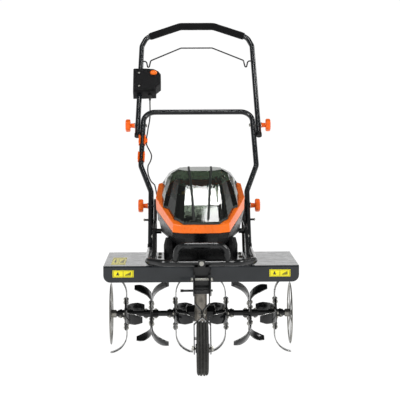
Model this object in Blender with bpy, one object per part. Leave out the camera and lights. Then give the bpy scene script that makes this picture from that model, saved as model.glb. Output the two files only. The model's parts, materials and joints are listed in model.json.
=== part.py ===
"""A battery garden tiller: wheel in front, six tine hubs on a worm-driven shaft, folding handle.

Metres, +Z up. The wheel is at the front, towards -Y, and left and right are as seen from the front,
so left is -X. The tine shaft is modelled at y = 0, and the last step moves the whole machine so that
its box is centred on the origin.
"""

import math

import bmesh
import bpy
from mathutils import Matrix, Vector

# ---------------------------------------------------------------- driving dimensions
GAP = 0.0004  # between two faces that touch on the real machine
BORE_CLEARANCE = 0.0005  # on the radius, where a round part turns or slides in another

TINE_RADIUS = 0.138
SHAFT_RADIUS = 0.010
SHAFT_HALF = 0.3165
HUB_PLACES = (0.090, 0.173, 0.261)
# Each hub's phase, in degrees from straight up toward the front, and its blades' bends: 1 is outward.
HUB_LAYOUTS = (("inner", 0, (-1, -1, -1, -1)), ("middle", 40, (1, -1, 1, -1)), ("outer", 0, (1, -1, 1, -1)))
HUB_PLATE = 0.004
HUB_CORNER = 0.057
HUB_SLEEVE_RADIUS = 0.0135
HUB_SLEEVE_HALF = 0.026
BLADE_THICK = 0.0035
BLADE_WIDTH = 0.038
BLADE_BEND = 0.066
BLADE_REACH = 0.058
DISC_RADIUS = 0.110
DISC_PLACE = 0.311
DISC_THICK = 0.004

GEAR_MODULE = 0.0015
WHEEL_TEETH = 26
WORM_PITCH_RADIUS = 0.009
WORM_TURNS = 3
WORM_CORE = 0.0068
GEARBOX_WALL = 0.0065
BARREL_HALF = 0.043
BEARING_RADIUS = 0.0165
COLUMN_HALF = 0.021

FENDER_ABOVE_SHAFT = 0.189
FENDER_HALF = 0.3275
FENDER_FRONT = -0.180
FENDER_REAR = 0.220
FENDER_SHEET = 0.0025
FENDER_LIP = 0.055
FENDER_CORNER = 0.023

WHEEL_RADIUS = 0.088
TYRE_WIDTH = 0.038
WHEEL_Y = -0.390
ARM_PIVOT_Y = -0.312
ARM_PIVOT_BELOW_FENDER = 0.027
BAR_THICK = 0.0033
BAR_WIDTH = 0.026
BRACKET_HALF = 0.029
BRACKET_SHEET = 0.0032
BRACKET_WEB_Y = -0.275
BRACKET_FRONT = -0.358
BRACKET_DROP = 0.080
LOCK_PIN_REACH = 0.0373
AXLE_RADIUS = 0.005
PIN_RADIUS = 0.004

TUBE_RADIUS = 0.010
BUMPER_FRONT = -0.262
BUMPER_REAR = 0.115
BUMPER_ABOVE_FENDER = 0.020
LOOP_HALF = 0.0825
LOOP_HEIGHT = 0.058

UPRIGHT_OUTER = 0.1655
BUMPER_HALF = UPRIGHT_OUTER + TUBE_RADIUS + 0.001
UPRIGHT_DEPTH = 0.011
UPRIGHT_WEB = 0.004
PEG_Y = 0.2316
PEG_ABOVE_FENDER = 0.116

HANDLE_SLOPE = math.radians(52.5)
LOWER_LEG = UPRIGHT_OUTER + TUBE_RADIUS + 0.001
LOWER_FOOT = -0.115
CLAMP_KNOB = 0.063
LEG_BEND_START = 0.123
LEG_BEND_END = 0.238
LEG_WIDE = 0.2155
CROSSBAR = 0.4865
CROSSBAR_HALF = 0.2065
FOLD_KNOB = 0.426
UPPER_STUB = -0.052
UPPER_SHOULDER = 0.385
UPPER_SHOULDER_HALF = 0.2180
GRIP_CORNER = (0.200, UPPER_SHOULDER + 0.0435, 0)
GRIP_TOP = UPPER_SHOULDER + 0.101
GRIP_TOP_HALF = 0.066
GRIP_RADIUS = 0.0145
LEVER_PIVOT = UPPER_SHOULDER - 0.076
LEVER_LENGTH = 0.184
LEVER_RELEASED = math.radians(-34.5)
LEVER_WIRE = 0.0028

BOX_BOTTOM = UPPER_SHOULDER - 0.244
BOX_TOP = BOX_BOTTOM + 0.113
BOX_OUTER = 0.2490
BOX_INNER = 0.142
BOX_FRONT = 0.030
BOX_REAR = 0.026
BOX_WALL = 0.0025
BUTTON_PLACE = (-0.170, BOX_TOP - 0.026)
BUTTON_SIZE = (0.0135, 0.0105)
GLAND_X = -0.184
GLAND_LENGTH = 0.023

HEAD_ABOVE_FENDER = 0.072
HEAD_WALL = 0.003
SKIRT_HALF = 0.082
SKIRT_FRONT = -0.128
STAKE_Y = 0.252
STAKE_SIZE = (0.016, 0.008)
STAKE_TOP = 0.420
CABLE_RADIUS = 0.0025
UPPER_CLIP = 0.352
LOWER_CLIP = 0.276
CLIP_LENGTH = 0.036

# ---------------------------------------------------------------- places worked out from them
SHAFT_Z = TINE_RADIUS
FENDER_TOP = SHAFT_Z + FENDER_ABOVE_SHAFT
HEAD_Z = FENDER_TOP + HEAD_ABOVE_FENDER
GEAR_RADIUS = GEAR_MODULE * WHEEL_TEETH / 2
WORM_LEAD = math.pi * GEAR_MODULE
WORM_Y = -(GEAR_RADIUS + WORM_PITCH_RADIUS)
BARREL_RADIUS = GEAR_RADIUS + GEAR_MODULE + 0.002 + GEARBOX_WALL
ARM_PIVOT = Vector((0, ARM_PIVOT_Y, FENDER_TOP - ARM_PIVOT_BELOW_FENDER))
WHEEL_CENTRE = Vector((0, WHEEL_Y, WHEEL_RADIUS))
BUMPER_Z = FENDER_TOP + BUMPER_ABOVE_FENDER
PEG = Vector((0, PEG_Y, FENDER_TOP + PEG_ABOVE_FENDER))
KNOB_STEM = 0.017
KNOB_THICK = 0.019
KNOB_RADIUS = 0.025
BAR_AT_PIVOT = BRACKET_HALF - BRACKET_SHEET - GAP - BAR_THICK / 2
BAR_AT_WHEEL = TYRE_WIDTH / 2 + 0.006 + BAR_THICK / 2
BAR_AT_WAIST = GAP / 2 + BAR_THICK / 2 / 0.8  # the bars slant into the waist, which widens their ends
BEZEL_SLOPE_LOW = (HEAD_Z + 0.042, 0.27)
BEZEL_SLOPE_HIGH = (HEAD_Z + 0.068, 0.327)
HEAD_FRONT_Y = -0.236
COVER_HINGE_Y = 0.151

# ---------------------------------------------------------------- scene and materials
for old in list(bpy.data.objects):
    bpy.data.objects.remove(old, do_unlink=True)


def finish(name, colour, roughness, metallic=0.0, alpha=1.0):
    """A Principled material."""
    material = bpy.data.materials.new(name)
    material.use_nodes = True
    shader = material.node_tree.nodes["Principled BSDF"]
    shader.inputs["Base Color"].default_value = (*colour, 1)
    shader.inputs["Roughness"].default_value = roughness
    shader.inputs["Metallic"].default_value = metallic
    shader.inputs["Alpha"].default_value = alpha
    material.diffuse_color = (*colour, alpha)
    return material


BLACK_PAINT = finish("black_paint", (0.012, 0.013, 0.015), 0.32)
GREY_PAINT = finish("charcoal_paint", (0.035, 0.04, 0.045), 0.3)
BRIGHT_STEEL = finish("bright_steel", (0.6, 0.6, 0.58), 0.3, 1.0)
CASE_ALLOY = finish("case_alloy", (0.32, 0.31, 0.29), 0.45, 1.0)
ORANGE = finish("orange_plastic", (0.95, 0.16, 0.01), 0.35)
BLACK_PLASTIC = finish("black_plastic", (0.012, 0.012, 0.013), 0.45)
SMOKED = finish("smoked_plastic", (0.03, 0.035, 0.03), 0.06, 0.0, 0.55)
RUBBER = finish("rubber", (0.018, 0.018, 0.016), 0.8)
FOAM = finish("foam", (0.010, 0.010, 0.011), 0.95)
BRONZE = finish("bronze", (0.45, 0.27, 0.10), 0.4, 1.0)


def frame(name, place, parent=None, turn=0.0):
    """An empty whose X axis is the machine's and that is turned about it."""
    empty = bpy.data.objects.new(name, None)
    bpy.context.scene.collection.objects.link(empty)
    empty.empty_display_size = 0.03
    empty.location = place
    empty.rotation_euler = (turn, 0, 0)
    empty.parent = parent
    return empty


# ---------------------------------------------------------------- modelling helpers
def solid(name, bm):
    """An object from a bmesh, with its faces pointing out."""
    bmesh.ops.recalc_face_normals(bm, faces=bm.faces)
    mesh = bpy.data.meshes.new(name)
    bm.to_mesh(mesh)
    bm.free()
    made = bpy.data.objects.new(name, mesh)
    bpy.context.scene.collection.objects.link(made)
    return made


def combine(body, tool, operation):
    """Joins or cuts a body with a tool, and removes the tool."""
    change = body.modifiers.new(operation, "BOOLEAN")
    change.operation = operation
    change.solver = "EXACT"
    change.object = tool
    view = bpy.context.evaluated_depsgraph_get()
    mesh = bpy.data.meshes.new_from_object(body.evaluated_get(view))
    body.modifiers.remove(change)
    body.data = mesh
    bpy.data.objects.remove(tool, do_unlink=True)
    return body


def cut(body, *tools):
    for tool in tools:
        combine(body, tool, "DIFFERENCE")
    return body


def join(body, *others):
    for other in others:
        combine(body, other, "UNION")
    return body


def attach(body, parent, material, smooth=True):
    """Gives a finished body its material and its frame."""
    body.data.materials.clear()
    body.data.materials.append(material)
    body.parent = parent
    if smooth:
        body.data.shade_smooth()
        body.data.set_sharp_from_angle(angle=math.radians(35))
    return body


def block(low, high, name="block"):
    """A box between two corners."""
    bm = bmesh.new()
    size = Vector(high) - Vector(low)
    middle = (Vector(high) + Vector(low)) / 2
    move = Matrix.Translation(middle) @ Matrix.Diagonal((*size, 1))
    bmesh.ops.create_cube(bm, size=1, matrix=move)
    return solid(name, bm)


def ring_point(axis, along, radius, angle):
    """A point round an axis through the origin: X, Y or Z."""
    across = (radius * math.cos(angle), radius * math.sin(angle))
    if axis == "X":
        return Vector((along, *across))
    if axis == "Y":
        return Vector((across[1], along, across[0]))
    return Vector((*across, along))


def turned(axis, centre, profile, sides, name="turned", turn=0.0):
    """A solid of revolution. The profile is (along, radius) pairs; with a bore it is a closed loop."""
    bm = bmesh.new()
    bored = profile[0][1] > 0 and profile[-1] == profile[0]
    stations = profile[:-1] if bored else profile
    rings = []
    for along, radius in stations:
        if radius == 0:
            rings.append([bm.verts.new(ring_point(axis, along, 0, 0) + Vector(centre))])
            continue
        angles = [turn + math.tau * k / sides for k in range(sides)]
        ring = [bm.verts.new(ring_point(axis, along, radius, a) + Vector(centre)) for a in angles]
        rings.append(ring)
    pairs = list(zip(rings, rings[1:]))
    if bored:
        pairs.append((rings[-1], rings[0]))
    for first, second in pairs:
        for k in range(sides):
            after = (k + 1) % sides
            corners = [first[k % len(first)], first[after % len(first)]]
            corners += [second[after % len(second)], second[k % len(second)]]
            bm.faces.new(list(dict.fromkeys(corners)))
    for end in (rings[0], rings[-1]):
        if not bored and len(end) > 1:
            bm.faces.new(end)
    return solid(name, bm)


def rod(axis, centre, start, end, radius, sides=12, name="rod"):
    """A cylinder along an axis, between two places on it."""
    return turned(axis, centre, [(start, radius), (end, radius)], sides, name, math.pi / sides)


def prism(axis, outline, start, end, name="prism"):
    """A flat outline pushed along X (outline in y, z), Y (x, z) or Z (x, y)."""
    bm = bmesh.new()
    ends = []
    for along in (start, end):
        row = []
        for a, b in outline:
            place = {"X": (along, a, b), "Y": (a, along, b), "Z": (a, b, along)}[axis]
            row.append(bm.verts.new(place))
        ends.append(row)
        bm.faces.new(row)
    for k in range(len(outline)):
        after = (k + 1) % len(outline)
        bm.faces.new((ends[0][k], ends[0][after], ends[1][after], ends[1][k]))
    return solid(name, bm)


def arc(centre, radius, start, end, steps):
    """Points on an arc, with the angles in degrees."""
    points = []
    for k in range(steps + 1):
        angle = math.radians(start + (end - start) * k / steps)
        points.append((centre[0] + radius * math.cos(angle), centre[1] + radius * math.sin(angle)))
    return points


def rounded(points, radius, steps=4):
    """A line through points, with its inner corners rounded."""
    points = [Vector(p) for p in points]
    line = [points[0]]
    for before, corner, after in zip(points, points[1:], points[2:]):
        back = (before - corner).normalized()
        on = (after - corner).normalized()
        half = back.angle(on) / 2
        room = 0.48 * min((before - corner).length, (after - corner).length)
        reach = min(radius / math.tan(half), room)
        bend = reach * math.tan(half)
        centre = corner + (back + on).normalized() * (bend / math.sin(half))
        first = corner + back * reach - centre
        last = corner + on * reach - centre
        for k in range(steps + 1):
            line.append(centre + first.normalized().slerp(last.normalized(), k / steps) * bend)
    line.append(points[-1])
    return line


def tube(line, radius, sides=10, bore=0.0, name="tube"):
    """A round tube along a line, with flat ends and, if bore is not 0, a hole through it."""
    bm = bmesh.new()
    line = [Vector(p) for p in line]
    ways = [(b - a).normalized() for a, b in zip(line, line[1:])]
    across = ways[0].orthogonal().normalized()
    shells = [[], []]
    for k, place in enumerate(line):
        way = (ways[max(k - 1, 0)] + ways[min(k, len(ways) - 1)]).normalized()
        across = (across - way * across.dot(way)).normalized()
        other = way.cross(across)
        for shell, size in zip(shells, (radius, bore)):
            if size == 0:
                continue
            ring = []
            for j in range(sides):
                angle = math.tau * j / sides
                out = across * math.cos(angle) + other * math.sin(angle)
                ring.append(bm.verts.new(place + out * size))
            shell.append(ring)
    for shell in shells:
        for first, second in zip(shell, shell[1:]):
            for j in range(sides):
                after = (j + 1) % sides
                bm.faces.new((first[j], first[after], second[after], second[j]))
    outer, inner = shells
    for end in (0, -1):
        if not inner:
            bm.faces.new(outer[end])
            continue
        for j in range(sides):
            after = (j + 1) % sides
            bm.faces.new((outer[end][j], outer[end][after], inner[end][after], inner[end][j]))
    return solid(name, bm)


def loft(rings, closed=False, name="loft"):
    """Skins rings of equally many points; a closed one joins its last ring to its first."""
    bm = bmesh.new()
    made = [[bm.verts.new(p) for p in ring] for ring in rings]
    pairs = list(zip(made, made[1:]))
    if closed:
        pairs.append((made[-1], made[0]))
    for first, second in pairs:
        for k in range(len(first)):
            after = (k + 1) % len(first)
            bm.faces.new((first[k], first[after], second[after], second[k]))
    if not closed:
        bm.faces.new(made[0])
        bm.faces.new(made[-1])
    return solid(name, bm)


def both_sides(half):
    """A closed outline from its +X half, whose first and last points are on the middle plane."""
    return list(half) + [(-x, y) for x, y in reversed(half[1:-1])]


def inset(outline, distance):
    """An outline moved inwards; it runs anticlockwise seen from above when distance is positive."""
    moved = []
    count = len(outline)
    for k in range(count):
        before, here, after = (Vector(outline[(k + d) % count]) for d in (-1, 0, 1))
        first = (here - before).normalized()
        second = (after - here).normalized()
        normal = Vector((-first.y, first.x)) + Vector((-second.y, second.x))
        normal.normalize()
        spread = max(0.5, normal.dot(Vector((-first.y, first.x))))
        moved.append(tuple(here + normal * distance / spread))
    return moved


def on_slope(outline, slope, lift=0.0):
    """An outline in plan put on a plane that rises to the rear."""
    low, rise = slope
    return [(x, y, low + rise * (y - HEAD_FRONT_Y) + lift) for x, y in outline]


def ellipse(centre, half_sizes, steps):
    points = []
    for k in range(steps):
        angle = math.tau * k / steps
        across, up = half_sizes[0] * math.cos(angle), half_sizes[1] * math.sin(angle)
        points.append((centre[0] + across, centre[1] + up))
    return points


# ---------------------------------------------------------------- frames: one for each moving body
MACHINE = frame("machine", (0, 0, 0))
TINES = frame("tine_axis", (0, 0, SHAFT_Z), MACHINE)
WORM = frame("worm_axis", (0, WORM_Y, SHAFT_Z), MACHINE)
ARM_WAY = WHEEL_CENTRE - ARM_PIVOT
ARM_LENGTH = ARM_WAY.length
ARM_TURN = math.atan2(ARM_WAY.y, -ARM_WAY.z)
ARM = frame("arm_axis", ARM_PIVOT, MACHINE, ARM_TURN)
WHEEL = frame("wheel_axis", (0, 0, -ARM_LENGTH), ARM)
LOWER = frame("tilt_axis", PEG, MACHINE, HANDLE_SLOPE)
UPPER = frame("fold_axis", (0, FOLD_KNOB, 0), LOWER)
LEVER = frame("lever_axis", (0, LEVER_PIVOT, 0), UPPER, LEVER_RELEASED)
BUTTON = frame("button_axis", (BUTTON_PLACE[0], BUTTON_PLACE[1], BOX_FRONT), UPPER)
COVER_HINGE_Z = BEZEL_SLOPE_HIGH[0] + BEZEL_SLOPE_HIGH[1] * (COVER_HINGE_Y - HEAD_FRONT_Y) + 0.001
COVER = frame("cover_axis", (0, COVER_HINGE_Y, COVER_HINGE_Z), MACHINE)
STAKE = frame("stake_axis", (0, STAKE_Y, 0), MACHINE)


# ---------------------------------------------------------------- drive: gearbox, worm and shaft
def gearbox_case(side, name):
    """One half of the case, split on the middle plane: barrel, column, head flange and fender lug."""
    near, far = side * GAP / 2, side * BARREL_HALF
    centre = (0, 0, SHAFT_Z)
    case = turned("X", centre, [(near, BARREL_RADIUS), (far, BARREL_RADIUS)], 20, name)
    top = HEAD_Z - GAP
    front, back = WORM_Y - COLUMN_HALF, WORM_Y + COLUMN_HALF
    chamfer = 0.007
    outline = [(0, front), (COLUMN_HALF - chamfer, front), (COLUMN_HALF, front + chamfer)]
    outline += [(COLUMN_HALF, back - chamfer), (COLUMN_HALF - chamfer, back), (0, back)]
    outline = [(near if x == 0 else side * x, y) for x, y in outline]
    column = prism("Z", outline, SHAFT_Z - 0.020, top - 0.004)
    flange = [(0, front - 0.022), (0.040, front - 0.022), (0.058, front), (0.058, back)]
    flange += [(0.040, back + 0.022), (0, back + 0.022)]
    flange = [(near if x == 0 else side * x, y) for x, y in flange]
    plate = prism("Z", flange, top - 0.010, top)
    lug_x = sorted((side * 0.012, side * 0.046))
    lug_top = FENDER_TOP - FENDER_SHEET - GAP
    lug = block((lug_x[0], front + 0.006, lug_top - 0.011), (lug_x[1], back - 0.006, lug_top))
    join(case, column, plate, lug)
    gear_room = rod("X", centre, -0.0115, 0.0115, GEAR_RADIUS + GEAR_MODULE + 0.0018, 24)
    seat = rod("X", centre, side * 0.020, side * 0.060, BEARING_RADIUS, 20)
    bore = rod("X", centre, -0.060, 0.060, SHAFT_RADIUS + 0.0016, 16)
    on_worm = (0, WORM_Y, 0)
    worm_space = WORM_PITCH_RADIUS + GEAR_MODULE + 0.002
    worm_room = rod("Z", on_worm, SHAFT_Z - 0.0145, SHAFT_Z + 0.040, worm_space, 20)
    shaft_room = rod("Z", on_worm, SHAFT_Z + 0.030, top + 0.010, WORM_CORE + 0.002, 16)
    cut(case, gear_room, seat, bore, worm_room, shaft_room)
    return attach(case, MACHINE, CASE_ALLOY)


def bearing(side, name):
    """A shaft bearing with its seal lip, pressed into the barrel's end."""
    inner, outer = SHAFT_RADIUS + BORE_CLEARANCE, BEARING_RADIUS - BORE_CLEARANCE
    profile = [(0.0215, inner), (0.0215, outer), (0.0360, outer), (0.0375, outer - 0.0015), (0.0375, inner)]
    loop = [(side * a, r) for a, r in profile]
    return attach(turned("X", (0, 0, SHAFT_Z), loop + loop[:1], 20, name), MACHINE, BRIGHT_STEEL)


def worm_shaft():
    """The motor's worm: a right-handed single thread on a core that runs up into the motor."""
    steps = 10
    turns = WORM_TURNS
    rings = []
    root, crest = WORM_CORE - 0.0008, WORM_PITCH_RADIUS + 0.9 * GEAR_MODULE
    foot, tip = 0.33 * WORM_LEAD, 0.14 * WORM_LEAD
    for k in range(turns * steps + 1):
        angle = math.pi / 2 + math.tau * (k / steps - turns / 2)
        lift = WORM_LEAD * (k / steps - turns / 2) + WORM_LEAD / 2
        section = ((root, -foot), (crest, -tip), (crest, tip), (root, foot))
        rings.append([(r * math.cos(angle), r * math.sin(angle), lift + z) for r, z in section])
    thread = loft(rings)
    top = HEAD_Z + 0.026 - SHAFT_Z
    core = turned("Z", (0, 0, 0), [(-0.0125, WORM_CORE), (top, WORM_CORE)], 12, "worm_shaft")
    return attach(join(core, thread), WORM, BRIGHT_STEEL)


def worm_wheel():
    """The bronze wheel on the tine shaft; its teeth lean with the worm's thread."""
    root = GEAR_RADIUS - 1.2 * GEAR_MODULE
    tip = GEAR_RADIUS + 0.9 * GEAR_MODULE
    lean = WORM_LEAD / (math.tau * WORM_PITCH_RADIUS) / GEAR_RADIUS
    half = 0.008
    step = math.tau / WHEEL_TEETH
    rings = []
    for x in (-half, half):
        ring = []
        for k in range(WHEEL_TEETH):
            middle = math.pi + step * k + lean * x
            for offset, radius in ((-0.30, root), (-0.13, tip), (0.13, tip), (0.30, root)):
                angle = middle + offset * step
                ring.append((x, radius * math.cos(angle), radius * math.sin(angle)))
        rings.append(ring)
    wheel = loft(rings, name="worm_wheel")
    cut(wheel, rod("X", (0, 0, 0), -0.02, 0.02, SHAFT_RADIUS + BORE_CLEARANCE, 16))
    return attach(wheel, TINES, BRONZE, smooth=False)


def motor():
    """The flat brushless motor that stands on the housing floor, with its cooling collar."""
    floor = HEAD_Z + HEAD_WALL + GAP
    bore = WORM_CORE + 0.001
    profile = [(floor, bore), (floor, 0.030), (floor + 0.006, 0.036), (floor + 0.010, 0.044)]
    profile += [(floor + 0.052, 0.044), (floor + 0.058, 0.038), (floor + 0.066, 0.038)]
    profile += [(floor + 0.068, 0.012), (floor + 0.068, bore), (floor, bore)]
    return attach(turned("Z", (0, WORM_Y, 0), profile, 20, "motor"), MACHINE, BRIGHT_STEEL)


def tine_shaft():
    profile = [(-SHAFT_HALF, SHAFT_RADIUS), (SHAFT_HALF, SHAFT_RADIUS)]
    shaft = turned("X", (0, 0, 0), profile, 16, "tine_shaft")
    return attach(shaft, TINES, BLACK_PAINT)


# ---------------------------------------------------------------- tines
def tine_hub(side, place, phase, name):
    """A sleeve on the shaft with a square plate whose corners point to the blades."""
    middle = side * place
    bore = SHAFT_RADIUS + BORE_CLEARANCE
    half = HUB_SLEEVE_HALF
    loop = [(-half, bore), (-half, HUB_SLEEVE_RADIUS), (half, HUB_SLEEVE_RADIUS), (half, bore)]
    hub = turned("X", (middle, 0, 0), loop + loop[:1], 12, name)
    corner = []
    for k in range(4):
        angle = math.radians(phase + 90 * k)
        way = Vector((-math.sin(angle), math.cos(angle)))
        aside = Vector((-way.y, way.x)) * 0.014
        corner += [tuple(way * HUB_CORNER + aside), tuple(way * HUB_CORNER - aside)]
    corner.sort(key=lambda point: math.atan2(point[1], point[0]))
    plate = prism("X", corner, middle - HUB_PLATE / 2, middle + HUB_PLATE / 2)
    cut(plate, rod("X", (0, 0, 0), -1, 1, HUB_SLEEVE_RADIUS - 0.001, 12))
    return attach(join(hub, plate), TINES, BLACK_PAINT)


def blade(root_x, phase, bend_side):
    """One slasher blade: a flat shank, then a quarter bend to one side and a tapered tip."""
    straight = TINE_RADIUS - BLADE_THICK / 2 - BLADE_BEND
    stations = [(0.020, 0.0, 0.0, 0.80), (0.055, 0.0, 0.0, 1.0), (straight, 0.0, 0.0, 1.0)]
    sweep = math.acos(1 - min(BLADE_REACH / BLADE_BEND, 1))
    tapers = (1, 1, 0.97, 0.88, 0.62)
    for k, taper in enumerate(tapers, 1):
        turn = sweep * k / len(tapers)
        aside = BLADE_BEND * (1 - math.cos(turn))
        stations.append((straight + BLADE_BEND * math.sin(turn), aside, turn, taper))
    angle = math.radians(phase)
    out = Vector((0, -math.sin(angle), math.cos(angle)))
    across = Vector((0, -out.z, out.y))
    rings = []
    for radius, aside, turn, width in stations:
        normal = Vector((bend_side * math.cos(turn), 0, 0)) - out * math.sin(turn)
        centre = out * radius + Vector((root_x + bend_side * aside, 0, 0))
        wide = across * BLADE_WIDTH / 2 * width
        thick = normal * BLADE_THICK / 2
        corners = (-wide - thick, wide - thick, wide + thick, thick - wide)
        rings.append([centre + corner for corner in corners])
    return loft(rings)


def blade_set(side, place, phase, bends, name):
    """The four blades of one hub, on the plate's inner face."""
    root_x = side * (place - HUB_PLATE / 2 - GAP - BLADE_THICK / 2)
    ring_bore = HUB_SLEEVE_RADIUS + 0.0008
    half = BLADE_THICK / 2 - 0.0002
    loop = [(-half, ring_bore), (-half, 0.027), (half, 0.027), (half, ring_bore)]
    blades = turned("X", (root_x, 0, 0), loop + loop[:1], 12, name)
    for k, bend in enumerate(bends):
        join(blades, blade(root_x, phase + 90 * k, side * bend))
    return attach(blades, TINES, BLACK_PAINT)


def guard_disc(side, name):
    """The spoked disc that keeps the tines off plants: rim, six spokes and a sleeve."""
    middle = side * DISC_PLACE
    bore = SHAFT_RADIUS + BORE_CLEARANCE
    half = DISC_THICK / 2
    rim_inner = DISC_RADIUS - 0.013
    loop = [(-half, rim_inner), (-half, DISC_RADIUS), (half, DISC_RADIUS), (half, rim_inner)]
    disc = turned("X", (middle, 0, 0), loop + loop[:1], 24, name)
    sleeve_end = side * -0.018
    sleeve = [(sleeve_end, bore), (sleeve_end, 0.0135), (-side * half, 0.0135), (-side * half, 0.024)]
    sleeve += [(side * half, 0.024), (side * half, bore)]
    spokes = []
    for k in range(6):
        angle = math.radians(60 * k + 15)
        way = Vector((math.cos(angle), math.sin(angle)))
        aside = Vector((-way.y, way.x))
        wide, narrow = aside * 0.0075, aside * 0.0045
        inner, outer = way * 0.020, way * (rim_inner + 0.004)
        outline = [tuple(inner + wide), tuple(outer + narrow), tuple(outer - narrow), tuple(inner - wide)]
        spokes.append(prism("X", outline, middle - half + 0.0006, middle + half - 0.0006))
    join(disc, *spokes, turned("X", (middle, 0, 0), sleeve + sleeve[:1], 14))
    return attach(disc, TINES, BRIGHT_STEEL)


# ---------------------------------------------------------------- fender, bumper and uprights
def fender():
    """The folded sheet over the tines, with round lower corners and a way through for the gearbox."""
    bend = 0.005
    low = FENDER_TOP - FENDER_LIP
    sheet = FENDER_SHEET
    outer = [(FENDER_FRONT, low)] + arc((FENDER_FRONT + bend, FENDER_TOP - bend), bend, 180, 90, 3)
    outer += arc((FENDER_REAR - bend, FENDER_TOP - bend), bend, 90, 0, 3)
    outer += [(FENDER_REAR, FENDER_TOP - 0.024)]
    inner = [(FENDER_REAR - sheet, FENDER_TOP - 0.024)]
    inner += arc((FENDER_REAR - bend, FENDER_TOP - bend), bend - sheet, 0, 90, 3)
    inner += arc((FENDER_FRONT + bend, FENDER_TOP - bend), bend - sheet, 90, 180, 3)
    inner += [(FENDER_FRONT + sheet, low)]
    plate = prism("X", outer + inner, -FENDER_HALF, FENDER_HALF, "fender")
    for side in (-1, 1):
        centre = (side * (FENDER_HALF - FENDER_CORNER), low + FENDER_CORNER)
        beyond = side * (FENDER_HALF + 0.01)
        corner = arc(centre, FENDER_CORNER, 270, 270 + side * 90, 5)
        corner += [(beyond, low + FENDER_CORNER), (beyond, low - 0.01), (centre[0], low - 0.01)]
        cut(plate, prism("Y", corner, FENDER_FRONT - 0.01, FENDER_FRONT + 0.02))
    way = COLUMN_HALF + 0.004
    cut(plate, block((-way, WORM_Y - way, FENDER_TOP - 0.01), (way, WORM_Y + way, FENDER_TOP + 0.01)))
    return attach(plate, MACHINE, GREY_PAINT)


def front_bumper():
    """The low tube that sweeps back along the fender, with the loop welded on top of it."""
    half = [(BUMPER_HALF, BUMPER_REAR, BUMPER_Z), (BUMPER_HALF, BUMPER_FRONT + 0.055, BUMPER_Z)]
    half += [(BUMPER_HALF - 0.050, BUMPER_FRONT, BUMPER_Z)]
    points = half + [(-x, y, z) for x, y, z in reversed(half)]
    low = tube(rounded(points, 0.045, 3), TUBE_RADIUS, 10, name="front_bumper")
    top = BUMPER_Z + LOOP_HEIGHT
    foot = (LOOP_HALF + 0.003, BUMPER_FRONT, BUMPER_Z)
    corner = (LOOP_HALF - 0.002, BUMPER_FRONT - 0.004, top)
    loop_points = [foot, corner, (-corner[0], corner[1], corner[2]), (-foot[0], foot[1], foot[2])]
    join(low, tube(rounded(loop_points, 0.040, 5), TUBE_RADIUS - 0.0004, 10))
    cut(low, rod("Y", (0, 0, BUMPER_Z), BUMPER_FRONT - 0.03, BUMPER_FRONT + 0.03, PIN_RADIUS + GAP, 10))
    return attach(low, MACHINE, BLACK_PAINT)


def peg_point(radius, angle):
    return (PEG.y + radius * math.cos(angle), PEG.z + radius * math.sin(angle))


def upright(side, name):
    """A folded side plate that carries the handle: pivot peg, slot for the clamp knob, tie bar."""
    base = FENDER_TOP + GAP
    head_tie = (0.050, HEAD_Z + 0.022)
    outline = [(-0.100, base), (0.190, base), (0.212, base + 0.018), (PEG.y + 0.030, PEG.z - 0.020)]
    outline += [(PEG.y + 0.064, PEG.z + 0.026), (PEG.y + 0.066, PEG.z + 0.050)]
    outline += [(PEG.y + 0.044, PEG.z + 0.074), (PEG.y + 0.010, PEG.z + 0.074), (PEG.y - 0.028, PEG.z)]
    outline += [(head_tie[0] + 0.020, head_tie[1] + 0.018), (head_tie[0] - 0.016, head_tie[1] + 0.012)]
    outline += [(-0.100, base + 0.030)]
    inner = UPRIGHT_OUTER - UPRIGHT_DEPTH
    plate = prism("X", outline, side * inner, side * UPRIGHT_OUTER, name)
    rim = 0.003
    pocket = inset(outline, rim)
    cut(plate, prism("X", pocket, side * (inner - 0.01), side * (UPRIGHT_OUTER - UPRIGHT_WEB)))
    swing = math.radians(14)
    wide = PIN_RADIUS + 0.001
    steps = 6
    angles = [HANDLE_SLOPE - swing + 2 * swing * k / steps for k in range(steps + 1)]
    slot = [peg_point(CLAMP_KNOB + wide, a) for a in angles]
    slot += [peg_point(CLAMP_KNOB, angles[-1] + wide / CLAMP_KNOB)]
    slot += [peg_point(CLAMP_KNOB - wide, a) for a in reversed(angles)]
    slot += [peg_point(CLAMP_KNOB, angles[0] - wide / CLAMP_KNOB)]
    cut(plate, prism("X", slot, side * (inner - 0.02), side * (UPRIGHT_OUTER + 0.02)))
    peg_end = LOWER_LEG + TUBE_RADIUS + 0.0125
    peg = rod("X", (0, PEG.y, PEG.z), side * (UPRIGHT_OUTER - 0.002), side * peg_end, PIN_RADIUS, 10)
    tie = rod("X", (0, *head_tie), side * 0.1350, side * (UPRIGHT_OUTER - 0.002), 0.009, 12)
    return attach(join(plate, peg, tie), MACHINE, BLACK_PAINT)


# ---------------------------------------------------------------- front wheel and its bracket
def arm_point(radius, angle):
    return (ARM_PIVOT.y + radius * math.cos(angle), ARM_PIVOT.z + radius * math.sin(angle))


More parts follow.
